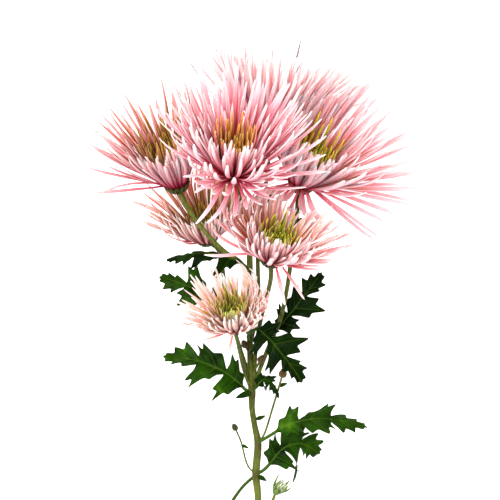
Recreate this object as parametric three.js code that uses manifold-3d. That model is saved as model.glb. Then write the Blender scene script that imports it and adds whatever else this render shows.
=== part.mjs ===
// A cut spray of pink spider chrysanthemums, laid on its back on a table.
// Millimetres. X runs across the spray, +Y towards the flower heads, +Z up off the table.

import * as THREE from "three";
import { mergeVertices } from "three/addons/utils/BufferGeometryUtils.js";
import Module from "manifold-3d";

const wasm = await Module();
wasm.setup();

// Driving dimensions

// Middle of the footprint, taken off every place so that the origin lies under it.
const CENTRE_X = 2.88;
const CENTRE_Y = -27.2;
// Air left between two pieces that meet.
const GAP = 0.35;
// Rounds off slivers that a join leaves.
const SLIVER = 0.08;

// The parts of a head of size 1. Heights are along the head's axis, from its base.
// The green cup: its profile, and how far every other scale of its rim is drawn back.
const CUP = {
  stalk: 1.2,
  bottom: -2.0,
  belly: 5.2,
  bellyHeight: 1.2,
  rim: 6.3,
  rimHeight: 3.6,
  floor: 3.0,
  notch: 1.1,
  notchIn: 0.5,
};
const CUP_SIDES = 10;
// The ring of receptacle that the ray florets grow from.
const RING = { inner: 5.2, outer: 7.4, bottom: 4.1, top: 7.0, rounding: 0.4 };
const RING_SIDES = 10;
// The eye's solid core: it widens by flare degrees up to rise, and is hollowed down to pit, as shares
// of the eye's height.
const EYE_CORE = { radius: 4.4, bottom: 4.1, shoulder: 6.5, flare: 20, rise: 0.42, pit: 0.25, rimIn: 0.6 };
const EYE_SIDES = 8;
// The cone that parts the eye from the ray florets: radius at a height, and half angle in degrees.
const EYE_CONE = { radius: 4.9, bottom: 3, height: 7, angle: 25, beyond: 8 };

// A ray floret: its widths and thickness, the innermost one's angle to the axis and its share of the
// reach, and how far the florets' angles, lengths and curls differ from one to the next.
const RAY = { width: 2.7, rootWidth: 1.1, thick: 1.15, innerAngle: 32, gather: 0.9, shortest: 0.6 };
const RAY_CHANCE = { turn: 0.12, angle: 5, length: 0.09, curl: 9, curlMean: -7 };
// Where the ray florets are rooted on the ring: outermost and innermost radius and height.
const RAY_ROOT = { outer: 6.5, inner: 6.1, low: 5.0, high: 6.0 };
const RAY_STEPS = 12;
const RAY_RINGS = [
  { step: 0, width: 0 },
  { step: 5, width: 0.95 },
  { step: 10, width: 0.8 },
];
// An eye floret: its width and thickness, the outermost one's angle and root radius, the height of
// its root, the share of its length in the pit, how much its length differs, and how many florets stand
// for each millimetre.
const EYE_FLORET = {
  width: 1.9,
  thick: 1.5,
  outerAngle: 21,
  spread: 3.3,
  root: 5.6,
  shortest: 0.5,
  uneven: 0.06,
  perHeight: 0.2,
  fewest: 6,
};

// How far below the table's top the lowest florets would reach: they are pressed flat there.
const TABLE_PRESS = 2.6;
// How a floret bends round what it would run into: the room at which it starts to turn, and how far
// it then turns towards the head's axis.
const TURN_ROOM = 9;
const TURN_FORWARD = 0.6;
const GOLDEN_ANGLE = 137.508;

// A leaf blade's thickness and its petiole's radius.
const BLADE_THICK = 0.75;
const PETIOLE_RADIUS = 0.85;

// A place in the spray, in millimetres from the middle of the footprint.
function at(x, y, z) {
  return new THREE.Vector3(x - CENTRE_X, y - CENTRE_Y, z);
}

// The seven open heads. base is the top of the stalk, heading turns the axis from +Y towards +X and
// tilt lifts it off the table. reach is the longest ray floret and eye the longest eye floret. spread is
// the outermost florets' angle to the axis on the left, on the right, on top and underneath. claim is the
// room that a head takes against its neighbours. short is the share that the florets on top lose. strays
// are single outer florets out of line: the way round the axis, the angle to it, the length and the curl.
const HEADS = [
  {
    name: "top", base: at(-8.5, 35.5, 76), heading: 3, tilt: 40, reach: 46, rays: 42, eye: 30,
    size: 1, spread: [48, 68, 62, 70], claim: 30, short: 0, seed: 1,
    strays: [
      [190, 50, 52, 0],
      [150, 74, 38, 14],
      [112, 96, 34, 20],
      [98, 104, 32, 22],
      [82, 106, 36, 16],
      [72, 98, 34, 14],
      [8, 88, 44, 6],
    ],
  },
  {
    name: "left", base: at(-36, 31, 41), heading: -17, tilt: 36, reach: 46, rays: 33, eye: 24,
    size: 0.95, spread: [54, 42, 54, 62], claim: 22, short: 0, seed: 2,
    strays: [[185, 66, 42, 62], [165, 68, 40, 0]],
  },
  {
    name: "right", base: at(24.5, 31, 41), heading: 25, tilt: 36, reach: 54, rays: 37, eye: 26,
    size: 1, spread: [50, 74, 64, 72], claim: 26, short: 0, seed: 3,
    strays: [[112, 112, 26, 18], [70, 106, 22, 20], [8, 84, 46, 6], [150, 96, 22, 15]],
  },
  {
    name: "back", base: at(9, 57.5, 34), heading: 6, tilt: 12, reach: 51, rays: 31, eye: 20,
    size: 0.95, spread: [38, 62, 50, 88], claim: 26, short: 0, seed: 4,
    strays: [[185, 35, 60, -6], [172, 30, 57, -8], [200, 15, 56, 0], [20, 60, 50, 0]],
  },
  {
    name: "mid_left", base: at(-21.5, 4.5, 26), heading: -12, tilt: 46, reach: 34, rays: 24, eye: 17,
    size: 0.85, spread: [58, 42, 46, 66], claim: 20, short: 0.45, seed: 5, ceiling: 45,
    strays: [],
  },
  {
    name: "mid_right", base: at(10, -6, 75), heading: 18, tilt: 43, reach: 37, rays: 33, eye: 17,
    size: 0.95, spread: [75, 66, 54, 76], claim: 26, short: 0, seed: 6,
    strays: [[168, 106, 30, 12], [62, 108, 30, 10], [40, 98, 26, 12]],
  },
  {
    name: "low", base: at(-7, -39.5, 57), heading: -12, tilt: 52, reach: 27, rays: 28, eye: 17,
    size: 0.8, spread: [70, 54, 48, 68], claim: 18, short: 0, seed: 7,
    strays: [[110, 96, 16, 14]],
  },
];

// Stems: each a list of places with the stem's radius there.
const STEMS = {
  main: [
    [at(4, -170, 1.7), 1.95],
    [at(4, -148, 5), 1.85],
    [at(4, -125, 9), 1.8],
    [at(3, -114.5, 12), 2.1],
    [at(4, -98, 16), 2.0],
    [at(2.5, -90, 18), 1.6],
    [at(1, -80, 21), 1.6],
    [at(1, -72, 24), 2.0],
    [at(0, -50, 33), 1.6],
    [at(0, -17.5, 47), 1.7],
    [at(-1, 10, 60), 1.45],
    [at(-5, 27.5, 71), 1.3],
    [at(-8.5, 35.5, 76), 1.25],
  ],
  left: [
    [at(0, -14, 48.5), 1.2],
    [at(-5, -6, 52), 1.2],
    [at(-12.5, -1, 54), 1.2],
    [at(-22.5, 9, 55), 1.2],
    [at(-33.5, 25, 45), 1.25],
    [at(-36, 31, 41), 1.35],
  ],
  right: [
    [at(1, -71, 24.5), 1.1],
    [at(9, -50, 33), 1.15],
    [at(15.5, -34, 41), 1.1],
    [at(18.5, -20, 45), 1.1],
    [at(20.5, -6, 47), 1.15],
    [at(23.5, 17.5, 45), 1.2],
    [at(24.5, 31, 41), 1.3],
  ],
  back: [
    [at(0.5, -46, 35), 1.1],
    [at(4, -30, 34), 1.1],
    [at(4, 0, 31), 1.1],
    [at(6, 20, 30), 1.1],
    [at(9, 42, 32), 1.1],
    [at(9, 57.5, 34), 1.3],
  ],
  mid_left: [
    [at(0.5, -66, 26.5), 1.1],
    [at(-5, -50, 27), 1.1],
    [at(-12, -25, 27), 1.1],
    [at(-13.5, -12.5, 27), 1.1],
    [at(-16, 0, 26.5), 1.15],
    [at(-21.5, 4.5, 26), 1.2],
  ],
  mid_right: [
    [at(2, -66, 26), 1.1],
    [at(3.2, -47.5, 37), 1.1],
    [at(6, -32.5, 47), 1.15],
    [at(9, -21, 58), 1.15],
    [at(10.5, -12.5, 68), 1.2],
    [at(10, -6, 75), 1.3],
  ],
  low: [
    [at(1, -72, 24), 0.9],
    [at(-3, -61, 33), 0.85],
    [at(-5, -52.5, 43), 0.85],
    [at(-6.6, -44, 52), 0.95],
    [at(-7, -39.5, 57), 1.2],
  ],
};

// Thin shoots that end in a small closed or withered bud: places, radius and the bud's radius.
const SHOOTS = [
  {
    places: [at(4, -98, 16), at(7, -94, 20), at(11.5, -80, 24), at(16.5, -63, 30)],
    radius: 0.55,
    bud: 1.7,
  },
  {
    places: [at(3, -114.5, 12), at(-1, -110, 14.5), at(-4.7, -97, 20), at(-7.5, -90.5, 22)],
    radius: 0.5,
    bud: 1.3,
  },
  {
    places: [at(0.5, -53, 31.5), at(-1.2, -50.5, 34), at(-2.5, -48, 36)],
    radius: 0.6,
    bud: 1.5,
  },
  {
    places: [at(1, -62, 28), at(3, -59.5, 32), at(5.5, -55.5, 36)],
    radius: 0.6,
    bud: 1.6,
  },
  {
    places: [at(-2, 14, 62), at(4, 20, 62), at(9, 25, 62)],
    radius: 0.5,
    bud: 1.6,
  },
];

// The half-open bud near the cut end: its stalk, the way it points and its sizes.
const HALF_OPEN_BUD = {
  stalk: [at(4, -145, 5.8), at(8, -135, 8), at(11.5, -128, 9.5), at(13, -123.5, 10.5)],
  radius: 0.8,
  heading: 40,
  tilt: 25,
  cup: 2.5,
  petals: 6,
  reach: 8,
  sepals: 4,
  sepalReach: 9,
};

// Scale leaves that sit on the stems: root, tip, width and the way the blade faces.
const SCALE_LEAVES = [
  { root: at(1, -72, 25.5), tip: at(-7.5, -75, 29), width: 3.2, faces: [0, 0.2, 1] },
  { root: at(3, -86, 19.5), tip: at(8, -84, 22), width: 2.2, faces: [0, -0.3, 1] },
  { root: at(4, -115, 13.5), tip: at(8.5, -117.5, 16), width: 2.4, faces: [0, 0.3, 1] },
  { root: at(14.5, -69, 27.5), tip: at(19, -67.5, 29), width: 2, faces: [0, 0.3, 1] },
  { root: at(20.5, -6, 48), tip: at(27, -8.5, 52), width: 3, faces: [0, -0.2, 1] },
  { root: at(-4.3, -99, 19.2), tip: at(-0.5, -100.8, 21), width: 1.6, faces: [0, 0.3, 1] },
  { root: at(23.5, 15, 49.5), tip: at(33, 12.5, 47), width: 4, faces: [0, 0.4, 1] },
];

// The nine true leaves. petiole runs from the stem to the blade, rib is the blade's midrib as a
// quadratic curve, faces is the way its upper side looks, fold lifts its halves in degrees, width is
// the half width for a lobe of 1, and lobes scale the right near, right far, left near, left far lobes.
const LEAVES = [
  {
    name: "leaf_upper_left",
    petiole: [at(0, -12, 49.5), at(-3, -7.6, 53), at(-5.5, -6, 54.5)],
    rib: [at(-5.5, -6, 54.5), at(-22, 2.5, 56), at(-42, -5.5, 49)],
    faces: [0, 0.85, 0.52],
    fold: -25,
    lobes: [1, 0.9, 1, 0.8],
  },
  {
    name: "leaf_mid_left",
    petiole: [at(-0.2, -43, 36), at(-6, -36, 31.5), at(-12.5, -31, 29)],
    rib: [at(-12.5, -31, 23), at(-26, -18, 27), at(-46.5, -13.8, 17)],
    faces: [-0.1, 0.25, 0.96],
    fold: 8,
    lobes: [0.6, 0.75, 0.9, 0.8],
  },
  {
    name: "leaf_lower_left",
    petiole: [at(1, -72, 24), at(-2, -71, 25), at(-4, -69, 26)],
    rib: [at(-4, -69, 26), at(-17, -55, 31), at(-44.5, -54, 18)],
    faces: [0.1, 0.2, 0.97],
    fold: 12,
    lobes: [0.7, 0.85, 1, 0.8],
  },
  {
    name: "leaf_upper_right",
    petiole: [at(0, -50, 33), at(6, -45, 30), at(14, -40, 31)],
    rib: [at(14, -40, 31), at(24, -28, 34), at(36.5, -11, 29)],
    faces: [-0.15, -0.1, 0.98],
    fold: 10,
    lobes: [0.9, 0.85, 0.7, 0.8],
  },
  {
    name: "leaf_front_right",
    petiole: [at(0, -46, 34.5), at(-0.8, -43, 44), at(4, -39.5, 51)],
    rib: [at(4, -39.5, 51), at(13, -46, 53), at(26.5, -67, 43)],
    faces: [0.05, -0.15, 0.98],
    fold: 6,
    lobes: [1, 0.95, 1, 0.95],
  },
  {
    name: "leaf_low_right",
    petiole: [at(4, -98, 16), at(8, -95.5, 20.5), at(13.5, -92, 22)],
    rib: [at(13.5, -92, 22), at(32, -80, 26), at(60, -90.5, 15)],
    faces: [0, 0.4, 0.9],
    fold: -12,
    lobes: [0.6, 0.7, 0.7, 0.75],
  },
  {
    name: "leaf_low_front",
    petiole: [at(3, -114.5, 12), at(7, -112, 13.5), at(10, -109, 14)],
    rib: [at(10, -109, 14), at(21, -91, 17), at(35, -98, 6)],
    faces: [-0.15, -0.2, 0.95],
    fold: 10,
    lobes: [1, 1.2, 0.9, 0.9],
  },
  {
    name: "leaf_node_right",
    petiole: [at(1, -72, 24), at(2.5, -70, 27), at(3.5, -69, 29)],
    rib: [at(3.5, -69, 29), at(9, -60, 35), at(14.5, -75, 31)],
    faces: [0.3, 0.5, 0.8],
    fold: -15,
    lobes: [0.9, 0.8, 0.9, 0.8],
  },
  {
    name: "leaf_on_table",
    petiole: [at(3, -114.5, 12), at(-3, -120, 9), at(-7.5, -126, 3), at(-11, -132, 0.9)],
    rib: [at(-11, -132, BLADE_THICK / 2), at(-16, -146, BLADE_THICK / 2), at(-23, -158, BLADE_THICK / 2)],
    faces: [0, 0, 1],
    fold: 0,
    lobes: [1, 1, 1, 1],
  },
];

// Half of a leaf's cut outline, for a midrib of length 1. foot is where on the midrib a row of the
// blade starts, along and out place the edge, and lobe says which lobe of its side the point is on.
const HALF_LEAF = [
  { foot: 0, along: 0, out: 0.02, lobe: 0 },
  { foot: 0.07, along: 0.06, out: 0.07, lobe: 0 },
  { foot: 0.11, along: 0.1, out: 0.24, lobe: 0 },
  { foot: 0.15, along: 0.18, out: 0.34, lobe: 0 },
  { foot: 0.19, along: 0.23, out: 0.24, lobe: 0 },
  { foot: 0.25, along: 0.29, out: 0.07, lobe: 0 },
  { foot: 0.32, along: 0.37, out: 0.17, lobe: 1 },
  { foot: 0.37, along: 0.45, out: 0.26, lobe: 1 },
  { foot: 0.42, along: 0.58, out: 0.32, lobe: 1 },
  { foot: 0.48, along: 0.57, out: 0.19, lobe: 1 },
  { foot: 0.54, along: 0.59, out: 0.08, lobe: 1 },
  { foot: 0.62, along: 0.69, out: 0.15, lobe: 1 },
  { foot: 0.67, along: 0.78, out: 0.18, lobe: 1 },
  { foot: 0.73, along: 0.79, out: 0.1, lobe: 1 },
  { foot: 0.8, along: 0.89, out: 0.11, lobe: 1 },
  { foot: 0.87, along: 0.91, out: 0.055, lobe: 1 },
  { foot: 0.93, along: 1, out: 0, lobe: 1 },
];

const COLOURS = {
  ray: 0xe59fb4,
  paleRay: 0xf0c3c8,
  eye: 0xc8a83a,
  limeEye: 0xc0c43c,
  leaf: 0x24501c,
  stem: 0x7c8a34,
  bud: 0xdfe3c4,
};
const ROUGHNESS = { petal: 0.6, leaf: 0.45, stem: 0.55 };

// Small sums

const radians = THREE.MathUtils.degToRad;
const mix = THREE.MathUtils.lerp;

// A repeatable number from -1 to 1 for the k-th piece of a head.
function chance(seed, k, channel) {
  const wave = Math.sin(seed * 37.719 + k * 12.9898 + channel * 78.233) * 43758.5453;
  return 2 * (wave - Math.floor(wave)) - 1;
}

// The part of a vector that is square to a unit vector, as a unit vector.
function squareTo(vector, unit) {
  return vector.clone().addScaledVector(unit, -vector.dot(unit)).normalize();
}

// The direction at an angle from the first of two unit vectors towards the second.
function between(first, second, angle) {
  return first.clone().multiplyScalar(Math.cos(angle)).addScaledVector(second, Math.sin(angle));
}

// Solids

// A closed solid from its corners and its triangles, turned right side out.
function solidFrom(corners, triangles) {
  const vertProperties = new Float32Array(corners.flatMap((c) => [c.x, c.y, c.z]));
  const closed = (faces) =>
    new wasm.Manifold(new wasm.Mesh({ numProp: 3, vertProperties, triVerts: new Uint32Array(faces.flat()) }));
  let solid = closed(triangles);
  if (solid.volume() < 0) {
    const inverted = triangles.map(([a, b, c]) => [a, c, b]);
    solid = closed(inverted);
  }
  return solid;
}

// A closed solid from a three.js geometry.
function solidOf(geometry) {
  const bare = geometry.clone();
  bare.deleteAttribute("normal");
  bare.deleteAttribute("uv");
  const welded = mergeVertices(bare, 1e-4);
  const place = welded.getAttribute("position");
  const cornerAt = (_, i) => new THREE.Vector3().fromBufferAttribute(place, i);
  const corners = Array.from({ length: place.count }, cornerAt);
  const index = Array.from(welded.index.array);
  const triangles = [];
  for (let i = 0; i < index.length; i += 3) {
    const [a, b, c] = index.slice(i, i + 3);
    if (a !== b && b !== c && a !== c) triangles.push([a, b, c]);
  }
  return solidFrom(corners, triangles);
}

// A closed solid through rings of points. A ring of one point is a tip, others are closed by a fan.
function loft(rings) {
  const triangles = [];
  const starts = [];
  let count = 0;
  for (const ring of rings) {
    starts.push(count);
    count += ring.length;
  }
  for (let i = 0; i + 1 < rings.length; i += 1) {
    const sides = Math.max(rings[i].length, rings[i + 1].length);
    for (let j = 0; j < sides; j += 1) {
      const next = (j + 1) % sides;
      const [a, b] = [starts[i], starts[i + 1]];
      if (rings[i].length === 1) triangles.push([a, b + next, b + j]);
      else if (rings[i + 1].length === 1) triangles.push([a + j, a + next, b]);
      else triangles.push([a + j, a + next, b + next], [a + j, b + next, b + j]);
    }
  }
  const last = starts.length - 1;
  for (let j = 1; j + 1 < rings[0].length; j += 1) triangles.push([0, j + 1, j]);
  for (let j = 1; j + 1 < rings[last].length; j += 1) {
    triangles.push([starts[last], starts[last] + j, starts[last] + j + 1]);
  }
  return solidFrom(rings.flat(), triangles);
}

// A ring of points round a place, in the plane square to a direction.
function ringAround(place, direction, radius, sides) {
  const upright = Math.abs(direction.z) > 0.9;
  const side = squareTo(new THREE.Vector3(upright ? 1 : 0, 0, upright ? 0 : 1), direction);
  const other = new THREE.Vector3().crossVectors(direction, side);
  return Array.from({ length: sides }, (_, j) => {
    const turn = (2 * Math.PI * j) / sides;
    return place
      .clone()
      .addScaledVector(side, radius * Math.cos(turn))
      .addScaledVector(other, radius * Math.sin(turn));
  });
}

// A round rod along a smooth curve through places, each with its radius.
function rod(placesAndRadii, sides, segments, extra = 0) {
  const curve = new THREE.CatmullRomCurve3(placesAndRadii.map(([place]) => place), false, "centripetal");
  const spans = placesAndRadii.length - 1;
  const rings = [];
  for (let i = 0; i <= segments; i += 1) {
    const along = (i / segments) * spans;
    const span = Math.min(Math.floor(along), spans - 1);
    const radius = mix(placesAndRadii[span][1], placesAndRadii[span + 1][1], along - span) + extra;
    rings.push(ringAround(curve.getPoint(i / segments), curve.getTangent(i / segments), radius, sides));
  }
  return loft(rings);
}

// A lathed solid whose profile lists radius and height, stood on a head's base along its axis.
function turned(profile, sides, frame, size, shape = (r, h) => [r, h]) {
  const geometry = new THREE.LatheGeometry(profile.map(([r, h]) => new THREE.Vector2(r, h)), sides);
  const place = geometry.getAttribute("position");
  const perRing = profile.length;
  for (let i = 0; i < place.count; i += 1) {
    const seam = Math.floor(i / perRing) % sides;
    const radius = Math.hypot(place.getX(i), place.getZ(i));
    const turn = (2 * Math.PI * seam) / sides;
    const [r, h] = shape(radius, place.getY(i), seam);
    const corner = frame.base
      .clone()
      .addScaledVector(frame.side, r * size * Math.cos(turn))
      .addScaledVector(frame.front, r * size * Math.sin(turn))
      .addScaledVector(frame.axis, h * size);
    place.setXYZ(i, corner.x, corner.y, corner.z);
  }
  return solidOf(geometry);
}

// All the solids as one, with slivers gone.
function joined(solids) {
  return wasm.Manifold.union(solids).simplify(SLIVER);
}

// The largest of the bodies that a cut has left.
function largest(solid) {
  return solid.decompose().sort((a, b) => b.volume() - a.volume())[0];
}

// Head frames and what their florets bend round

// The axis of a head, the way across it in the table's plane, and the way that looks up off the table.
function frameOf({ base, heading, tilt }) {
  const turn = radians(heading);
  const level = new THREE.Vector3(Math.sin(turn), Math.cos(turn), 0);
  const up = new THREE.Vector3(0, 0, 1);
  return {
    base,
    axis: between(level, up, radians(tilt)),
    side: new THREE.Vector3(Math.cos(turn), -Math.sin(turn), 0),
    front: between(level, up, radians(tilt) + Math.PI / 2),
  };
}

// The middle of a head's florets.
function middleOf(head) {
  return head.base.clone().addScaledVector(frameOf(head).axis, 0.4 * head.reach);
}

// A wall: florets stay on the side that away points to.
function wall(place, away) {
  return (point) => ({ distance: point.clone().sub(place).dot(away), away });
}

// A straight stretch of stem.
function bar(start, end, radius) {
  const line = new THREE.Line3(start, end);
  return (point) => {
    const nearest = line.closestPointToPoint(point, true, new THREE.Vector3());
    const away = point.clone().sub(nearest);
    return { distance: away.length() - radius, away: away.normalize() };
  };
}

// The walls between a head and its neighbours, each a place and the way to the head's own side.
function wallsOf(head) {
  const own = middleOf(head);
  return HEADS.filter((other) => other !== head).map((other) => {
    const theirs = middleOf(other);
    const share = head.claim / (head.claim + other.claim);
    return { place: own.clone().lerp(theirs, share), away: own.clone().sub(theirs).normalize() };
  });
}

const BARS = Object.values(STEMS).flatMap((places) =>
  places.slice(1).map(([place, radius], i) => bar(places[i][0], place, Math.max(radius, places[i][1]))),
);

// Everything that a head's florets bend round.
function obstaclesOf(head) {
  const table = wall(new THREE.Vector3(0, 0, -TABLE_PRESS), new THREE.Vector3(0, 0, 1));
  const neighbours = wallsOf(head).map(({ place, away }) => wall(place, away));
  const ceiling = head.ceiling
    ? [wall(new THREE.Vector3(0, 0, head.ceiling), new THREE.Vector3(0, 0, -1))]
    : [];
  return [table, ...neighbours, ...ceiling, ...BARS];
}

// A direction turned away from what it would run into, and towards the head's axis.
function steered(direction, point, halfWidth, obstacles, axis) {
  const turned = direction.clone();
  for (const obstacle of obstacles) {
    const { distance, away } = obstacle(point);
    const nearness = THREE.MathUtils.clamp(1 - (distance - halfWidth - GAP) / TURN_ROOM, 0, 1.3);
    const inward = -turned.dot(away);
    if (nearness > 0 && inward > 0) {
      turned.addScaledVector(away, inward * nearness).addScaledVector(axis, inward * nearness * TURN_FORWARD);
    }
  }
  return turned.normalize();
}

// Ray florets

// The way a ray floret leaves its head, how long it is and how it curls. k counts from the outside.
function rayPlan(head, k, count) {
  const inwards = (k + 0.5) / count;
  const turn = radians(k * GOLDEN_ANGLE + head.seed * 50) + RAY_CHANCE.turn * chance(head.seed, k, 1);
  const up = Math.max(0, Math.sin(turn));
  const down = Math.max(0, -Math.sin(turn));
  const [left, right, top, underneath] = head.spread;
  const sideways = mix(left, right, (1 + Math.cos(turn)) / 2);
  const spread = mix(mix(sideways, top, up), underneath, down);
  const uneven = 1 + RAY_CHANCE.length * chance(head.seed, k, 3);
  return {
    turn,
    angle:
      mix(spread, RAY.innerAngle, inwards ** RAY.gather) +
      RAY_CHANCE.angle * chance(head.seed, k, 2) * (1 - inwards),
    length: head.reach * mix(1, RAY.shortest, inwards ** 3) * uneven * (1 - head.short * up),
    curl: RAY_CHANCE.curl * chance(head.seed, k, 5) * (1 - inwards) + RAY_CHANCE.curlMean,
    rootRadius: mix(RAY_ROOT.outer, RAY_ROOT.inner, inwards) * head.size,
    rootHeight: mix(RAY_ROOT.low, RAY_ROOT.high, inwards) * head.size,
  };
}

// The same for a stray floret.
function strayPlan(head, [turn, angle, length, curl]) {
  return {
    turn: radians(turn),
    angle,
    length,
    curl,
    rootRadius: RAY_ROOT.outer * head.size,
    rootHeight: RAY_ROOT.low * head.size,
  };
}

// The points of a ray floret's middle line, with its width direction at each.
function rayLine(frame, plan, obstacles) {
  const outward = between(frame.side, frame.front, plan.turn);
  const across = new THREE.Vector3().crossVectors(frame.axis, outward);
  const point = frame.base
    .clone()
    .addScaledVector(frame.axis, plan.rootHeight)
    .addScaledVector(outward, plan.rootRadius);
  const line = [point.clone()];
  for (let step = 1; step <= RAY_STEPS; step += 1) {
    const share = step / RAY_STEPS;
    const angle = radians(plan.angle + plan.curl * share * share);
    const direction = between(frame.axis, outward, angle);
    const turned = steered(direction, point, RAY.width / 2, obstacles, frame.axis);
    point.addScaledVector(turned, plan.length / RAY_STEPS);
    line.push(point.clone());
  }
  return { line, across, outward };
}

// A floret as a three-sided blade: two edges and a keel on its outer side.
function threeSided(line, rings, across, outward, axis, widthAt, thick) {
  const sections = rings.map(({ step, width }) => {
    const before = line[Math.max(0, step - 1)];
    const after = line[Math.min(line.length - 1, step + 1)];
    const ahead = after.clone().sub(before).normalize();
    const edge = squareTo(across, ahead);
    const keel = new THREE.Vector3().crossVectors(ahead, edge).normalize();
    if (keel.dot(outward) - keel.dot(axis) < 0) keel.negate();
    const half = widthAt(width) / 2;
    const inner = line[step].clone().addScaledVector(keel, -thick * 0.35);
    return [
      inner.clone().addScaledVector(edge, half),
      inner.clone().addScaledVector(edge, -half),
      inner.clone().addScaledVector(keel, thick),
    ];
  });
  return loft([...sections, [line[line.length - 1]]]);
}

// The ring of receptacle that the ray florets of a head grow from.
function rayRing(head, frame) {
  const { inner, outer, bottom, top, rounding } = RING;
  const profile = [
    [inner, bottom],
    [outer - rounding, bottom],
    [outer, (bottom + top) / 2],
    [outer - 2 * rounding, top - rounding],
    [inner, top],
    [inner, bottom],
  ];
  return turned(profile, RING_SIDES, frame, head.size);
}

// The cone of air that a head's eye stands in.
function eyeSpace(head, frame) {
  const { bottom, height, angle, beyond } = EYE_CONE;
  const tall = head.eye / head.size + beyond;
  const narrow = EYE_CONE.radius + GAP / 2;
  const wide = narrow + tall * Math.tan(radians(angle));
  const profile = [
    [0, bottom],
    [narrow, bottom],
    [narrow, height],
    [wide, height + tall],
    [0, height + tall],
  ];
  return turned(profile, RING_SIDES, frame, head.size);
}

function rayFlorets(head, clearance) {
  const frame = frameOf(head);
  const obstacles = obstaclesOf(head);
  const widthAt = (share) => mix(RAY.rootWidth, RAY.width, share) * head.size;
  const plans = Array.from({ length: head.rays }, (_, k) => rayPlan(head, k, head.rays));
  plans.push(...head.strays.map((stray) => strayPlan(head, stray)));
  const florets = plans.map((plan) => {
    const { line, across, outward } = rayLine(frame, plan, obstacles);
    return threeSided(line, RAY_RINGS, across, outward, frame.axis, widthAt, RAY.thick * head.size);
  });
  let solid = joined([rayRing(head, frame), ...florets]).subtract(eyeSpace(head, frame)).subtract(clearance);
  for (const { place, away } of wallsOf(head)) {
    solid = solid.trimByPlane(away.toArray(), place.dot(away) + GAP / 2);
  }
  return largest(solid.trimByPlane([0, 0, 1], 0));
}

// Eye florets

// The solid core of an eye, flared and hollowed like a funnel.
function eyeCore(head, frame) {
  const { radius, bottom, shoulder, flare, rise, pit, rimIn } = EYE_CORE;
  const tall = head.eye / head.size;
  const rim = radius + tall * rise * Math.tan(radians(flare)) - rimIn;
  const profile = [
    [0, bottom],
    [radius, bottom],
    [radius, shoulder],
    [rim, shoulder + tall * rise],
    [0, shoulder + tall * pit],
  ];
  return turned(profile, EYE_SIDES, frame, head.size);
}

function eyeFlorets(head) {
  const frame = frameOf(head);
  const count = Math.round(head.eye * EYE_FLORET.perHeight + EYE_FLORET.fewest);
  const florets = Array.from({ length: count }, (_, k) => {
    const share = Math.sqrt((k + 0.5) / count);
    const outward = between(frame.side, frame.front, radians(k * GOLDEN_ANGLE + head.seed * 20));
    const across = new THREE.Vector3().crossVectors(frame.axis, outward);
    const direction = between(frame.axis, outward, radians(EYE_FLORET.outerAngle * share));
    const root = frame.base
      .clone()
      .addScaledVector(frame.axis, EYE_FLORET.root * head.size)
      .addScaledVector(outward, EYE_FLORET.spread * share * head.size);
    const uneven = 1 + EYE_FLORET.uneven * chance(head.seed, k, 6);
    const length = head.eye * mix(EYE_FLORET.shortest, 1, share) * uneven;
    const line = [0.25, 0.8, 1].map((part) => root.clone().addScaledVector(direction, length * part));
    const rings = [
      { step: 0, width: 0.8 },
      { step: 1, width: 1 },
    ];
    const widthAt = (part) => EYE_FLORET.width * part * head.size;
    return threeSided(line, rings, across, outward, frame.axis, widthAt, EYE_FLORET.thick * head.size);
  });
  return largest(joined([eyeCore(head, frame), ...florets]));
}

// Stems, cups and buds

// The green cup under a head, its rim notched between the scales.
function cup(head, extra = 0) {
  const { stalk, bottom, belly, bellyHeight, rim, rimHeight, floor, notch, notchIn } = CUP;
  const profile = [
    [0, bottom - extra],
    [stalk + extra, bottom - extra],
    [belly + extra, bellyHeight - extra / 2],
    [rim + extra, rimHeight + extra],
    [0, floor + extra],
  ];
  const scales = (r, h, seam) => (r > belly && seam % 2 ? [r - notchIn, h - notch] : [r, h]);
  return turned(profile, CUP_SIDES, frameOf(head), head.size, extra ? undefined : scales);
}

// A small closed bud at the end of a shoot: girths at heights, as shares of its radius.
function smallBud(places, radius, extra = 0) {
  const tip = places[places.length - 1];
  const ahead = tip.clone().sub(places[places.length - 2]).normalize();
  const profile = [
    [-0.9, 0.45],
    [0, 0.95],
    [1, 0.9],
    [1.9, 0.35],
  ];
  return loft(
    profile.map(([along, girth]) =>
      ringAround(tip.clone().addScaledVector(ahead, along * radius), ahead, girth * radius + extra, 5),
    ),
  );
}

// A pointed scale: a thin four-cornered blade from root to tip.
function scaleLeaf({ root, tip, width, faces }) {
  const ahead = tip.clone().sub(root).normalize();
  const normal = squareTo(new THREE.Vector3(...faces), ahead);
  const across = new THREE.Vector3().crossVectors(ahead, normal);
  const widest = root.clone().lerp(tip, 0.5);
  const ring = (place, half, thick) => [
    place.clone().addScaledVector(across, half),
    place.clone().addScaledVector(normal, thick / 2),
    place.clone().addScaledVector(across, -half),
    place.clone().addScaledVector(normal, -thick / 2),
  ];
  return loft([ring(root, 0.5, 0.8), ring(widest, width / 2, 0.9), [tip]]);
}

function budFrame() {
  const { stalk, heading, tilt } = HALF_OPEN_BUD;
  return frameOf({ base: stalk[stalk.length - 1], heading, tilt });
}

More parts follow.
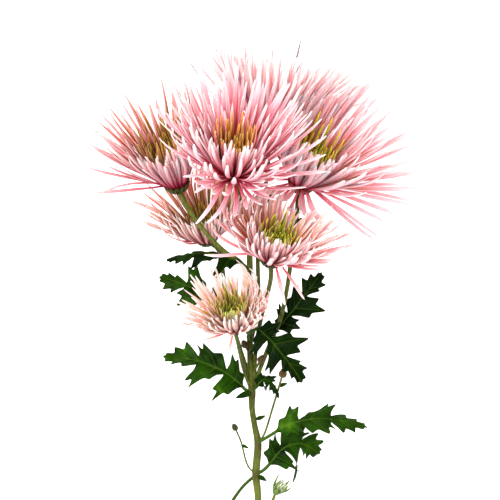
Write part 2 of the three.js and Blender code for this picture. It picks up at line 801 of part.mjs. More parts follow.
// The half-open bud's stalk, cup and long sepals.
function budGreens(extra = 0) {
  const { stalk, radius, cup: wide, sepals, sepalReach } = HALF_OPEN_BUD;
  const frame = budFrame();
  const profile = [
    [0, -1.2 - extra],
    [radius + extra, -1 - extra],
    [wide + extra, 1.4],
    [wide * 0.9 + extra, 2.6 + extra],
    [0, 2.2 + extra],
  ];
  const solids = [
    rod(stalk.map((place) => [place, radius]), 6, 6, extra),
    turned(profile, 9, frame, 1),
  ];
  for (let i = 0; i < sepals && !extra; i += 1) {
    const outward = between(frame.side, frame.front, (2 * Math.PI * (i + 0.3)) / sepals);
    const place = (along, out) =>
      frame.base.clone().addScaledVector(frame.axis, along).addScaledVector(outward, out);
    const root = place(1.2, wide * 0.8);
    const tip = place(sepalReach, wide * 2.1);
    solids.push(scaleLeaf({ root, tip, width: 1.5, faces: outward.toArray() }));
  }
  return joined(solids);
}

// The half-open bud's pale petals, gathered on a short core.
function budPetals() {
  const { petals, reach } = HALF_OPEN_BUD;
  const frame = budFrame();
  const profile = [
    [0, 3],
    [1.7, 3],
    [1.9, 4.2],
    [0, 5.4],
  ];
  const core = turned(profile, 8, frame, 1);
  const blades = Array.from({ length: petals }, (_, i) => {
    const outward = between(frame.side, frame.front, (2 * Math.PI * i) / petals);
    const place = (along, out) =>
      frame.base.clone().addScaledVector(frame.axis, along).addScaledVector(outward, out);
    const root = place(3.6, 0.8);
    const tip = place(reach * (0.9 + 0.1 * (i % 2)), 1.2 + 1.1 * (i % 3));
    return scaleLeaf({ root, tip, width: 1.7, faces: outward.toArray() });
  });
  return largest(joined([core, ...blades]));
}

// Every stem, cup and bud as one green body. extra grows it, to cut room for what meets it.
function stems(extra = 0) {
  const solids = Object.entries(STEMS).map(([name, places]) =>
    rod(places, name === "main" ? 7 : 5, name === "main" ? 18 : 7, extra),
  );
  for (const head of HEADS) solids.push(cup(head, extra));
  for (const { places, radius, bud } of SHOOTS) {
    solids.push(rod(places.map((place) => [place, radius]), 4, 4, extra), smallBud(places, bud, extra));
  }
  solids.push(budGreens(extra));
  if (!extra) solids.push(...SCALE_LEAVES.map(scaleLeaf));
  return largest(joined(solids));
}

// Leaves

// A leaf blade: rows run from feet on the midrib out to the cut edge, alike on both faces.
function blade({ rib, faces, fold, lobes }) {
  const curve = new THREE.QuadraticBezierCurve3(...rib);
  const length = curve.getLength();
  const looks = new THREE.Vector3(...faces).normalize();
  const place = (along, out, side) => {
    const ahead = curve.getTangent(along);
    const normal = squareTo(looks, ahead);
    const across = new THREE.Vector3().crossVectors(ahead, normal).multiplyScalar(side);
    const lifted = radians(fold);
    return curve
      .getPoint(along)
      .addScaledVector(across, out * length * Math.cos(lifted))
      .addScaledVector(normal, out * length * Math.sin(lifted));
  };
  const half = BLADE_THICK / 2;
  const lift = (point, along, side) =>
    point.clone().addScaledVector(squareTo(looks, curve.getTangent(along)), side * half);
  const rows = HALF_LEAF.map(({ foot, along, out, lobe }) => ({
    foot,
    along,
    rightOut: out * lobes[lobe],
    leftOut: out * lobes[2 + lobe],
  }));
  const corners = [];
  const add = (point) => corners.push(point) - 1;
  const faceCorners = (side) => {
    const ribs = rows.map(({ foot }) => add(lift(place(foot, 0, 1), foot, side)));
    const edges = rows.slice(0, -1);
    const rights = edges.map(({ along, rightOut }) => add(lift(place(along, rightOut, 1), along, side)));
    const lefts = edges.map(({ along, leftOut }) => add(lift(place(along, leftOut, -1), along, side)));
    const tip = add(lift(place(1, 0, 1), 1, side));
    return { ribs, rights: [...rights, tip], lefts: [...lefts, tip] };
  };
  const upper = faceCorners(1);
  const lower = faceCorners(-1);
  const triangles = [];
  const cover = (face, flip) => {
    const push = (a, b, c) => triangles.push(flip ? [a, c, b] : [a, b, c]);
    for (let i = 0; i + 1 < rows.length; i += 1) {
      push(face.ribs[i], face.rights[i], face.rights[i + 1]);
      push(face.ribs[i], face.rights[i + 1], face.ribs[i + 1]);
      push(face.ribs[i], face.lefts[i + 1], face.lefts[i]);
      push(face.ribs[i], face.ribs[i + 1], face.lefts[i + 1]);
    }
  };
  cover(upper, false);
  cover(lower, true);
  const last = rows.length - 1;
  const rim = (face) => [face.ribs[0], ...face.rights, ...face.lefts.slice(0, last).reverse()];
  const [above, below] = [rim(upper), rim(lower)];
  for (let i = 0; i < above.length; i += 1) {
    const next = (i + 1) % above.length;
    triangles.push([above[i], below[i], below[next]], [above[i], below[next], above[next]]);
  }
  return solidFrom(corners, triangles);
}

function leaf(plan, clearance) {
  const curve = new THREE.QuadraticBezierCurve3(...plan.rib);
  const places = [...plan.petiole.slice(0, -1), curve.getPoint(0), curve.getPoint(0.05)];
  const petiole = rod(
    places.map((place, i) => [place, i === places.length - 1 ? BLADE_THICK * 0.45 : PETIOLE_RADIUS]),
    5,
    5,
  );
  return largest(joined([blade(plan), petiole]).subtract(clearance).trimByPlane([0, 0, 1], 0));
}

// The spray

function meshOf(name, solid, colour, roughness) {
  const { vertProperties, triVerts } = solid.getMesh();
  const geometry = new THREE.BufferGeometry();
  geometry.setAttribute("position", new THREE.BufferAttribute(new Float32Array(vertProperties), 3));
  geometry.setIndex(new THREE.BufferAttribute(new Uint32Array(triVerts), 1));
  geometry.computeVertexNormals();
  const material = new THREE.MeshStandardMaterial({ color: colour, roughness, metalness: 0 });
  const mesh = new THREE.Mesh(geometry, material);
  mesh.name = name;
  return mesh;
}

const group = new THREE.Group();
const clearance = stems(GAP);
group.add(meshOf("stem", stems().trimByPlane([0, 0, 1], 0), COLOURS.stem, ROUGHNESS.stem));
for (const head of HEADS) {
  const pale = head.name === "low";
  const lime = ["mid_right", "low", "right"].includes(head.name);
  const rays = rayFlorets(head, clearance);
  group.add(meshOf(`rays_${head.name}`, rays, pale ? COLOURS.paleRay : COLOURS.ray, ROUGHNESS.petal));
  const eye = eyeFlorets(head);
  group.add(meshOf(`eye_${head.name}`, eye, lime ? COLOURS.limeEye : COLOURS.eye, ROUGHNESS.petal));
}
for (const plan of LEAVES) group.add(meshOf(plan.name, leaf(plan, clearance), COLOURS.leaf, ROUGHNESS.leaf));
group.add(meshOf("bud_petals", budPetals(), COLOURS.bud, ROUGHNESS.petal));

export default group;
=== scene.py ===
import bpy
import numpy as np
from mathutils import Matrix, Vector


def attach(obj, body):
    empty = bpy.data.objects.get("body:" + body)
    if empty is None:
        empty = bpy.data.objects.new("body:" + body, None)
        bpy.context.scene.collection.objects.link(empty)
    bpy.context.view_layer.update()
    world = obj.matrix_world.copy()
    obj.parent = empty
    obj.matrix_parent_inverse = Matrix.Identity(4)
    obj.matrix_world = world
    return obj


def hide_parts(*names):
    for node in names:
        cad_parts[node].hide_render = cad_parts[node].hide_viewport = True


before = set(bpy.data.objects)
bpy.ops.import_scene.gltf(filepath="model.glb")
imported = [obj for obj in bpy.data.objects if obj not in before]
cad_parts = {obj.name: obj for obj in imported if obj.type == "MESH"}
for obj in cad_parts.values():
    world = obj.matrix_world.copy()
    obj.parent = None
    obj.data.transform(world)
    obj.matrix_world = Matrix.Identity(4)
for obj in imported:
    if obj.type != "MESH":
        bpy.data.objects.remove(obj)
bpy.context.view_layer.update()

MM = 0.001
CENTRE = np.array([2.88, -27.2, 0.0])
UP = np.array([0.0, 0.0, 1.0])
GOLDEN_ANGLE = 137.508
# Nothing but the stage lies lower than this.
TABLE_SKIN = 0.04


def at(x, y, z):
    """A place in the spray, measured from the middle of its footprint."""
    return np.array([x, y, z], dtype=float) - CENTRE


# The seven open heads

# heading and tilt turn a head's axis. reach and eye are the lengths of its longest ray florets and of its
# longest eye florets. claim weighs how much of the room between two heads is its own. spread is the angle
# of the outermost florets from the axis on the left, on the right, on top and underneath. short is the
# share of their length that the florets on top lose, trim the share that those just right of underneath
# lose, broad the factor on the rays' width, and ceiling a height that they stay below. rays and hearts
# count the florets of the rim and of the eye. A stray is one loose floret: its turn round the head, its
# angle from the axis, its length and its curl.
HEADS = {
    "top": dict(
        base=at(-8.5, 35.5, 76), heading=3, tilt=40, reach=46, eye=27, size=1.0, spread=(32, 64, 70, 58),
        claim=30, seed=1, broad=0.95, rays=180, hearts=170,
        strays=[
            (190, 50, 52, 0), (150, 74, 22, 10), (112, 96, 34, 20), (98, 104, 32, 22), (82, 106, 36, 16),
            (72, 98, 34, 14), (8, 88, 44, 6), (38, 92, 44, 12), (54, 94, 40, 18), (64, 97, 36, 20),
            (136, 88, 20, 12), (60, 70, 34, 30),
        ],
    ),
    "left": dict(
        base=at(-36, 31, 41), heading=-17, tilt=36, reach=46, eye=34, size=0.95, spread=(54, 30, 26, 62),
        short=0.42, claim=22, seed=2, broad=0.78, rays=160, hearts=170,
        strays=[(185, 66, 42, 62), (165, 68, 40, 0)],
    ),
    "right": dict(
        base=at(24.5, 31, 41), heading=25, tilt=36, reach=54, eye=30, size=1.0, spread=(44, 74, 40, 72),
        short=0.4, claim=26, seed=3, broad=1.15, rays=180, hearts=130,
        strays=[
            (112, 112, 26, 18), (70, 106, 22, 20), (8, 84, 46, 6), (150, 96, 22, 15), (24, 92, 46, 4),
            (162, 84, 26, 12), (130, 100, 24, 16), (88, 112, 38, 14), (52, 106, 26, 18),
            (100, 96, 18, 24), (76, 100, 20, 24), (118, 92, 20, 22), (60, 92, 24, 20),
            (350, 90, 48, 4), (340, 84, 52, 2), (14, 96, 50, 0),
        ],
    ),
    "back": dict(
        base=at(9, 57.5, 34), heading=6, tilt=12, reach=51, eye=20, size=0.95, spread=(38, 62, 50, 88),
        claim=26, seed=4, broad=0.8, rays=180, hearts=110,
        strays=[(185, 35, 60, -6), (172, 30, 57, -8)],
    ),
    "mid_left": dict(
        base=at(-21.5, 4.5, 26), heading=-12, tilt=46, reach=34, eye=17, size=0.85, spread=(58, 42, 46, 66),
        claim=20, short=0.45, seed=5, broad=0.62, rays=170, hearts=120, ceiling=45,
        strays=[],
    ),
    "mid_right": dict(
        base=at(10, -6, 75), heading=18, tilt=43, reach=37, eye=20, size=0.95, spread=(75, 66, 50, 76),
        short=0.12, trim=0.4, claim=26, seed=6, broad=0.78, rays=180, hearts=170,
        strays=[(168, 106, 28, 12), (62, 106, 22, 14), (40, 98, 23, 12)],
    ),
    "low": dict(
        base=at(-7, -39.5, 57), heading=-12, tilt=52, reach=27, eye=20, size=0.8, spread=(70, 54, 40, 62),
        short=0.05, claim=18, seed=7, broad=0.6, rays=160, hearts=170,
        strays=[(110, 96, 16, 14)],
    ),
}

# Stems: x, y and z of a place in the spray, and the stem's radius there
STEM_ROWS = {
    "main": [
        (4, -170, 1.7, 1.95), (4, -148, 5, 1.85), (4, -125, 9, 1.8),
        (3, -114.5, 12, 2.1), (4, -98, 16, 2.0), (2.5, -90, 18, 1.6),
        (1, -80, 21, 1.6), (1, -72, 24, 2.0), (0, -50, 33, 1.6),
        (0, -17.5, 47, 1.7), (-1, 10, 60, 1.45), (-5, 27.5, 71, 1.3),
        (-8.5, 35.5, 76, 1.25),
    ],
    "left": [
        (0, -14, 48.5, 1.2), (-5, -6, 52, 1.2), (-12.5, -1, 54, 1.2),
        (-22.5, 9, 55, 1.2), (-33.5, 25, 45, 1.25), (-36, 31, 41, 1.35),
    ],
    "right": [
        (1, -71, 24.5, 1.1), (9, -50, 33, 1.15), (15.5, -34, 41, 1.1),
        (18.5, -20, 45, 1.1), (20.5, -6, 47, 1.15), (23.5, 17.5, 45, 1.2),
        (24.5, 31, 41, 1.3),
    ],
    "back": [
        (0.5, -46, 35, 1.1), (4, -30, 34, 1.1), (4, 0, 31, 1.1),
        (6, 20, 30, 1.1), (9, 42, 32, 1.1), (9, 57.5, 34, 1.3),
    ],
    "mid_left": [
        (0.5, -66, 26.5, 1.1), (-5, -50, 27, 1.1), (-12, -25, 27, 1.1),
        (-13.5, -12.5, 27, 1.1), (-16, 0, 26.5, 1.15), (-21.5, 4.5, 26, 1.2),
    ],
    "mid_right": [
        (2, -66, 26, 1.1), (3.2, -47.5, 37, 1.1), (6, -32.5, 47, 1.15),
        (9, -21, 58, 1.15), (10.5, -12.5, 68, 1.2), (10, -6, 75, 1.3),
    ],
    "low": [
        (1, -72, 24, 0.9), (-3, -61, 33, 0.85), (-5, -52.5, 43, 0.85),
        (-6.6, -44, 52, 0.95), (-7, -39.5, 57, 1.2),
    ],
}
STEMS = {name: [(at(*row[:3]), row[3]) for row in rows] for name, rows in STEM_ROWS.items()}

# Thin shoots: places, radius, radius of the bud at the end, and whether the bud has withered
SHOOTS = [
    ([at(4, -98, 16), at(7, -94, 20), at(11.5, -80, 24), at(16.5, -63, 30)], 0.55, 1.7, True),
    ([at(3, -114.5, 12), at(-1, -110, 14.5), at(-4.7, -97, 20), at(-7.5, -90.5, 22)], 0.5, 1.3, False),
    ([at(0.5, -53, 31.5), at(-1.2, -50.5, 34), at(-2.5, -48, 36)], 0.6, 1.5, True),
    ([at(1, -62, 28), at(3, -59.5, 32), at(5.5, -55.5, 36)], 0.6, 1.6, True),
    ([at(-2, 14, 62), at(4, 20, 62), at(9, 25, 62)], 0.5, 1.6, False),
]

HALF_OPEN_BUD = dict(
    stalk=[at(4, -145, 5.8), at(8, -135, 8), at(11.5, -128, 9.5), at(13, -123.5, 10.5)],
    radius=0.8, heading=40, tilt=25,
)
# Its cup's profile of radius and height, and how many sepals and petals stand in it
HALF_OPEN_CUP = [(0.8, -1.2), (1.6, -0.6), (2.5, 1.0), (2.5, 2.0), (1.0, 2.6)]
SEPALS = 9
BUD_PETALS = 16

# Scale leaves: root, tip, width and the way the blade faces
SCALE_LEAVES = [
    (at(1, -72, 25.5), at(-7.5, -75, 29), 3.2, (0, 0.2, 1)),
    (at(3, -86, 19.5), at(8, -84, 22), 2.2, (0, -0.3, 1)),
    (at(4, -115, 13.5), at(8.5, -117.5, 16), 2.4, (0, 0.3, 1)),
    (at(14.5, -69, 27.5), at(19, -67.5, 29), 2, (0, 0.3, 1)),
    (at(20.5, -6, 48), at(27, -8.5, 52), 3, (0, -0.2, 1)),
    (at(-4.3, -99, 19.2), at(-0.5, -100.8, 21), 1.6, (0, 0.3, 1)),
    (at(23.5, 15, 49.5), at(33, 12.5, 47), 4, (0, 0.4, 1)),
]

# Places on the stems where branches leave, which are tinged purple-brown, and how far the tinge reaches
JOINTS = [at(3, -114.5, 12), at(4, -98, 16), at(1, -72, 24), at(0, -50, 33), at(0, -14, 48)]
TINGE_REACH = 4.5

# True leaves: the petiole up to the blade, the midrib as a quadratic curve, the way the blade faces, its
# fold in degrees and the sizes of the right near, right far, left near and left far lobes
LEAVES = {
    "leaf_upper_left": dict(
        petiole=[at(0, -12, 49.5), at(-3, -7.6, 53)],
        rib=[at(-5.5, -6, 54.5), at(-22, 2.5, 56), at(-42, -5.5, 49)],
        faces=(0, 0.85, 0.52), fold=-25, lobes=(1, 0.9, 1, 0.8),
    ),
    "leaf_mid_left": dict(
        petiole=[at(-0.2, -43, 36), at(-6, -36, 31.5)],
        rib=[at(-12.5, -31, 23), at(-26, -18, 27), at(-46.5, -13.8, 17)],
        faces=(-0.1, 0.25, 0.96), fold=8, lobes=(0.6, 0.75, 0.9, 0.8),
    ),
    "leaf_lower_left": dict(
        petiole=[at(1, -72, 24), at(-2, -71, 25)],
        rib=[at(-4, -69, 26), at(-17, -55, 31), at(-44.5, -54, 18)],
        faces=(0.1, 0.2, 0.97), fold=12, lobes=(0.7, 0.85, 1, 0.8),
    ),
    "leaf_upper_right": dict(
        petiole=[at(0, -50, 33), at(6, -45, 30)],
        rib=[at(14, -40, 31), at(24, -28, 34), at(36.5, -11, 29)],
        faces=(-0.15, -0.1, 0.98), fold=10, lobes=(0.9, 0.85, 0.7, 0.8),
    ),
    "leaf_front_right": dict(
        petiole=[at(0, -46, 34.5), at(-0.8, -43, 44)],
        rib=[at(4, -39.5, 51), at(13, -46, 53), at(26.5, -67, 43)],
        faces=(0.05, -0.15, 0.98), fold=6, lobes=(1, 0.95, 1, 0.95),
    ),
    "leaf_low_right": dict(
        petiole=[at(4, -98, 16), at(8, -95.5, 20.5)],
        rib=[at(13.5, -92, 22), at(32, -80, 26), at(60, -90.5, 15)],
        faces=(0, 0.4, 0.9), fold=-12, lobes=(0.55, 0.55, 0.6, 0.6),
    ),
    "leaf_low_front": dict(
        petiole=[at(3, -114.5, 12), at(7, -112, 13.5)],
        rib=[at(10, -109, 14), at(21, -91, 17), at(36, -104, 6)],
        faces=(-0.15, -0.2, 0.95), fold=10, lobes=(1.35, 1.35, 1.1, 1.2),
    ),
    "leaf_node_right": dict(
        petiole=[at(1, -72, 24), at(2.5, -70, 27)],
        rib=[at(3.5, -69, 29), at(9, -60, 35), at(14.5, -75, 31)],
        faces=(0.3, 0.5, 0.8), fold=-15, lobes=(0.9, 0.8, 0.9, 0.8),
    ),
    "leaf_on_table": dict(
        petiole=[at(3, -114.5, 12), at(-3, -120, 9), at(-7.5, -126, 3)],
        rib=[at(-11, -132, 0.38), at(-16, -146, 0.38), at(-23, -158, 0.38)],
        faces=(0, 0, 1), fold=0, lobes=(1, 1, 1, 1),
    ),
}

# Half of a leaf's cut outline for a midrib of length 1: where on the midrib a row starts, where its
# end lies along and out from the rib, and 0 or 1 for the near or the far lobe
LEAF_ROWS = np.array([
    (0, 0, 0.02, 0), (0.05, 0.04, 0.07, 0), (0.08, 0.07, 0.18, 0), (0.1, 0.15, 0.17, 0),
    (0.13, 0.24, 0.32, 0), (0.16, 0.25, 0.21, 0), (0.19, 0.33, 0.26, 0), (0.23, 0.29, 0.12, 0),
    (0.27, 0.29, 0.04, 0), (0.31, 0.36, 0.12, 1), (0.34, 0.42, 0.23, 1), (0.37, 0.5, 0.21, 1),
    (0.41, 0.64, 0.37, 1), (0.45, 0.62, 0.22, 1), (0.49, 0.71, 0.26, 1), (0.52, 0.65, 0.12, 1),
    (0.56, 0.64, 0.05, 1), (0.6, 0.7, 0.1, 1), (0.63, 0.79, 0.18, 1), (0.68, 0.8, 0.1, 1),
    (0.73, 0.9, 0.15, 1), (0.79, 0.89, 0.07, 1), (0.85, 0.97, 0.07, 1), (0.91, 0.97, 0.03, 1),
    (0.96, 1, 0, 1),
])
# Rows that carry a side vein out to a tooth, and the rows of the deepest notches
VEIN_ROWS = (4, 12, 18, 20)
NOTCH_ROWS = (8, 16)
LEAF_ROUNDING = np.array([1, 2, 3, 2, 1]) / 9


# Sums on whole arrays

def unit(vectors):
    """Vectors divided by their lengths."""
    return vectors / np.linalg.norm(vectors, axis=-1, keepdims=True)


def dot(a, b):
    """The sum of products along the last axis, which is kept."""
    return (a * b).sum(axis=-1, keepdims=True)


def square_to(vectors, along):
    """Vectors less their share along a unit vector, as unit vectors."""
    return unit(vectors - dot(vectors, along) * along)


def mix(a, b, share):
    """a at share 0, b at share 1, in a straight line."""
    return a + (b - a) * share


def rise(low, high, value):
    """0 below low and 1 above high, with 3t^2 - 2t^3 between."""
    t = np.clip((value - low) / (high - low), 0, 1)
    return t * t * (3 - 2 * t)


def chance(seed, k, channel):
    """A repeatable number from -1 to 1 for piece k: the fraction of a large multiple of a sine."""
    wave = np.sin(seed * 37.719 + np.asarray(k) * 12.9898 + channel * 78.233) * 43758.5453
    return 2 * (wave - np.floor(wave)) - 1


def smooth_path(places, count):
    """count points through places: cubic pieces whose slope at a place comes from its neighbours,
    with each span weighed by the square root of its length."""
    places = np.asarray(places, dtype=float)
    ends = np.vstack([2 * places[0] - places[1], places, 2 * places[-1] - places[-2]])
    span = np.sqrt(np.linalg.norm(np.diff(ends, axis=0), axis=1))[:, None]
    step = np.diff(ends, axis=0)
    slope = step[:-1] / span[:-1] + step[1:] / span[1:] - (step[:-1] + step[1:]) / (span[:-1] + span[1:])
    along = np.linspace(0, len(places) - 1, count)
    first = np.minimum(along.astype(int), len(places) - 2)
    t = (along - first)[:, None]
    start, end = places[first], places[first + 1]
    leave, reach = slope[first] * span[first + 1], slope[first + 1] * span[first + 1]
    bend = -3 * start + 3 * end - 2 * leave - reach
    return start + leave * t + bend * t**2 + (2 * start - 2 * end + leave + reach) * t**3


def bezier(rib, share):
    """Points and directions of the quadratic curve with three control points, at shares of it."""
    t = np.asarray(share)[..., None]
    a, b, c = rib
    point = (1 - t) ** 2 * a + 2 * t * (1 - t) * b + t**2 * c
    return point, unit(2 * (1 - t) * (b - a) + 2 * t * (c - b))


# Meshes

def bundle(name, finish, groups, replaced=()):
    """One piece made of closed tubes. Each group is (rings, values): rings holds the tubes' loops of
    points, shaped (tubes, loops, around, 3), and both ends close on the middle of the end loop. values
    are named numbers for the material, of any shape that stretches to (tubes, loops, around). The UV
    map runs once round a tube in u and from its first loop to its last in v."""
    vertices, faces, maps = [], [], []
    numbers = {key: [] for key in ("along", "inner", "shade", "chance", "edge", "vein", "under", "joint")}
    start = 0
    for rings, values in groups:
        rings = np.array(rings, dtype=float)
        rings[..., 2] = np.maximum(rings[..., 2], TABLE_SKIN)
        tubes, loops, around, _ = rings.shape
        index = start + np.arange(tubes * loops * around).reshape(tubes, loops, around)
        foot = start + index.size + np.arange(tubes)[:, None] + np.zeros(around, dtype=int)
        top = foot + tubes
        nextone = np.roll(index, -1, axis=2)
        quads = np.stack([index[:, :-1], nextone[:, :-1], nextone[:, 1:], index[:, 1:]], axis=-1)
        feet = np.stack([nextone[:, 0], index[:, 0], foot], axis=-1)
        tops = np.stack([index[:, -1], nextone[:, -1], top], axis=-1)
        u = np.arange(around) / around
        v = np.linspace(0, 1, loops)
        u_corner = np.broadcast_to(np.stack([u, u + 1 / around, u + 1 / around, u], axis=-1), quads.shape)
        v_low = np.broadcast_to(v[:-1, None], quads.shape[:3])
        v_high = np.broadcast_to(v[1:, None], quads.shape[:3])
        v_corner = np.stack([v_low, v_low, v_high, v_high], axis=-1)
        u_end = np.broadcast_to(np.stack([u + 1 / around, u, u], axis=-1), feet.shape)
        points = np.concatenate([rings.reshape(-1, 3), rings[:, 0].mean(axis=1), rings[:, -1].mean(axis=1)])
        a, b, c = (rings[:, :-1], np.roll(rings, -1, axis=2)[:, :-1], np.roll(rings, -1, axis=2)[:, 1:])
        d = rings[:, 1:]
        middle = rings.mean(axis=(1, 2), keepdims=True)
        volume = (np.cross(c - a, d - b) * (a - middle)).sum()
        for corners, us, vs in (
            (quads, u_corner, v_corner),
            (feet, u_end, np.zeros(feet.shape)),
            (tops, u_end, np.ones(tops.shape)),
        ):
            order = slice(None) if volume > 0 else slice(None, None, -1)
            faces.append(corners[..., order].reshape(-1, corners.shape[-1]))
            maps.append(np.stack([us[..., order].ravel(), vs[..., order].ravel()], axis=-1))
        vertices.append(points)
        for key, parts in numbers.items():
            value = np.broadcast_to(np.asarray(values.get(key, 0.0), dtype=float), (tubes, loops, around))
            parts.append(np.concatenate([value.ravel(), value[:, 0].mean(axis=1), value[:, -1].mean(axis=1)]))
        start += len(points)
    mesh = bpy.data.meshes.new(name)
    mesh.from_pydata(np.concatenate(vertices) * MM, [], [face for part in faces for face in part.tolist()])
    mesh.polygons.foreach_set("use_smooth", np.ones(len(mesh.polygons), dtype=bool))
    layer = mesh.uv_layers.new(name="floret")
    layer.data.foreach_set("uv", np.concatenate(maps).ravel())
    for key, parts in numbers.items():
        values = np.concatenate(parts)
        if values.any():
            mesh.attributes.new(key, "FLOAT", "POINT").data.foreach_set("value", values)
    mesh.materials.append(finish)
    mesh.update()
    piece = bpy.data.objects.new(name, mesh)
    bpy.context.scene.collection.objects.link(piece)
    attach(piece, "root")
    if replaced:
        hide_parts(*replaced)
    return piece


def tube(places, radii, loops, around, ribs=0, depth=0.0):
    """Loops round a smooth path. The radius runs in straight lines between the places, times
    1 + depth * cos(ribs * angle)."""
    path = smooth_path(places, loops)
    ahead = unit(np.gradient(path, axis=0))
    side = square_to(np.broadcast_to(UP, path.shape), ahead)
    other = np.cross(ahead, side)
    radius = np.interp(np.linspace(0, len(places) - 1, loops), np.arange(len(places)), radii)
    angle = 2 * np.pi * np.arange(around) / around
    girth = radius[:, None, None] * (1 + depth * np.cos(ribs * angle))[None, :, None]
    spoke = side[:, None] * np.cos(angle)[:, None] + other[:, None] * np.sin(angle)[:, None]
    return (path[:, None] + girth * spoke)[None]


def turned(head, profile, around):
    """Loops of a profile of (radius, height) turned round a head's axis."""
    axis, side, front = head_frame(head)
    radius, height = (np.array(profile) * head["size"]).T
    angle = 2 * np.pi * np.arange(around) / around
    spoke = side * np.cos(angle)[:, None] + front * np.sin(angle)[:, None]
    return (head["base"] + height[:, None, None] * axis + radius[:, None, None] * spoke)[None]


# What florets bend round

MIDDLE_SHARE = 0.4
# Florets may press this far into the table before it turns them, and keep this gap to anything else.
TABLE_PRESS = 2.6
GAP = 0.35
# Within TURN_ROOM of what lies ahead a floret turns, up to TURN_LIMIT times what would lead it along it.
TURN_ROOM = 9.0
TURN_LIMIT = 1.3
TURN_FORWARD = 0.6


def head_frame(head):
    """A head's axis, which heads from +Y towards +X and is lifted by its tilt, the way across it in the
    table's plane, and the way square to both that looks up off the table."""
    turn, tilt = np.radians(head["heading"]), np.radians(head["tilt"])
    level = np.array([np.sin(turn), np.cos(turn), 0])
    side = np.array([np.cos(turn), -np.sin(turn), 0])
    return np.cos(tilt) * level + np.sin(tilt) * UP, side, np.cos(tilt) * UP - np.sin(tilt) * level


def middle_of(head):
    """The middle of a head's florets: up its axis by a share of their reach."""
    return head["base"] + MIDDLE_SHARE * head["reach"] * head_frame(head)[0]


BARS = [
    (places[i][0], places[i + 1][0], max(places[i][1], places[i + 1][1]))
    for places in STEMS.values()
    for i in range(len(places) - 1)
]


def obstacles(head, point):
    """The distance from each point to, and the way away from, the table, the walls between heads, a
    ceiling over one head, and every straight stretch of stem."""
    found = [(point[:, 2:] + TABLE_PRESS, UP)]
    own = middle_of(head)
    for other in HEADS.values():
        if other is not head:
            theirs = middle_of(other)
            place = mix(own, theirs, head["claim"] / (head["claim"] + other["claim"]))
            away = unit(own - theirs)
            found.append((dot(point - place, away), away))
    if "ceiling" in head:
        found.append((head["ceiling"] - point[:, 2:], -UP))
    for start, end, radius in BARS:
        share = np.clip(dot(point - start, end - start) / dot(end - start, end - start), 0, 1)
        away = point - mix(start, end, share)
        length = np.linalg.norm(away, axis=1, keepdims=True)
        found.append((length - radius, away / length))
    return found


def steered(direction, point, half_width, head, axis):
    """Directions turned away from what lies ahead: as the room to it shrinks, the share of the
    direction that points at it is taken off, and part of that is added along the head's axis."""
    for distance, away in obstacles(head, point):
        nearness = np.clip(1 - (distance - half_width - GAP) / TURN_ROOM, 0, TURN_LIMIT)
        inward = np.maximum(0, -dot(direction, away)) * nearness
        direction = direction + inward * away + inward * TURN_FORWARD * axis
    return unit(direction)


# Florets

# Cross-sections of a floret, as shares of its half width across and of its depth outwards: a closed
# quill near the root, and further out a channel that is open on its inner side
QUILL = np.array([(-0.9, 0), (-0.5, 0.8), (0.5, 0.8), (0.9, 0), (0.5, -0.8), (-0.5, -0.8)])
CHANNEL = np.array([(-1, -0.5), (-0.5, 0.75), (0.5, 0.75), (1, -0.5), (0.42, 0.3), (-0.42, 0.3)])
SECTION_EDGE = np.array([1, 0, 0, 1, 0, 0])
SECTION_INSIDE = np.array([0.3, 0, 0, 0.3, 1, 1])
FLORET_SHARES = np.array([0, 0.1, 0.24, 0.4, 0.56, 0.71, 0.84, 0.94, 1.0])


def floret_lines(head, plan, shares):
    """Middle lines that march out from the ring: at share s of its length a floret leaves the axis by
    angle + curl s^2 - hook s^6, sways sideways by sway s^2, and is steered round what it would meet.
    Its share free of that turning is left out."""
    axis, side, front = head_frame(head)
    turn = plan["turn"][:, None]
    outward = np.cos(turn) * side + np.sin(turn) * front
    across = np.cross(axis, outward)
    point = head["base"] + plan["root_height"][:, None] * axis + plan["root_radius"][:, None] * outward
    line = [point]
    for step in np.diff(shares).cumsum():
        before = shares[np.searchsorted(shares, step) - 1]
        bend = plan["angle"] + plan["curl"] * step**2 - plan["hook"] * step**6
        angle = np.radians(bend)[:, None]
        sway = np.radians(plan["sway"] * step**2)[:, None]
        direction = np.cos(angle) * axis + np.sin(angle) * outward + np.sin(sway) * across
        bent = steered(direction, point, plan["width"][:, None] / 2, head, axis)
        point = point + unit(mix(bent, direction, plan["free"])) * (plan["length"] * (step - before))[:, None]
        line.append(point)
    return np.stack(line, axis=1), across


def floret_rings(line, across, plan, shares):
    """Loops round middle lines. The width grows from the root to shares of about a half, then closes
    as the root of 1 - t^2 over the last share, point. The section turns from quill to channel, and
    twists by twist times s."""
    ahead = unit(np.gradient(line, axis=1))
    edge = square_to(np.broadcast_to(across[:, None], line.shape), ahead)
    keel = np.cross(edge, ahead)
    twist = np.radians(plan["twist"][:, None] * shares)[..., None]
    edge, keel = np.cos(twist) * edge + np.sin(twist) * keel, np.cos(twist) * keel - np.sin(twist) * edge
    point = plan["point"][:, None]
    closing = np.sqrt(1 - np.clip((shares - 1 + point) / point, 0, 0.97) ** 2)
    grown = mix(plan["root_width"][:, None], plan["width"][:, None], rise(0, 0.55, shares))
    half = grown * closing / 2
    depth = mix(plan["root_width"][:, None] * 0.5, plan["depth"][:, None], rise(0, 0.4, shares)) * closing
    opened = (rise(0.05, 0.5, shares)[None] * plan["opened"][:, None])[..., None, None]
    section = mix(QUILL, CHANNEL, opened)
    across_part = section[..., :1] * half[..., None, None]
    out_part = section[..., 1:] * depth[..., None, None]
    return line[:, :, None] + across_part * edge[:, :, None] + out_part * keel[:, :, None]


# The angle of the innermost ray florets from the axis, and the turn in radians where trim shortens most
INNER_ANGLE = 24
TRIM_TURN = -1.4


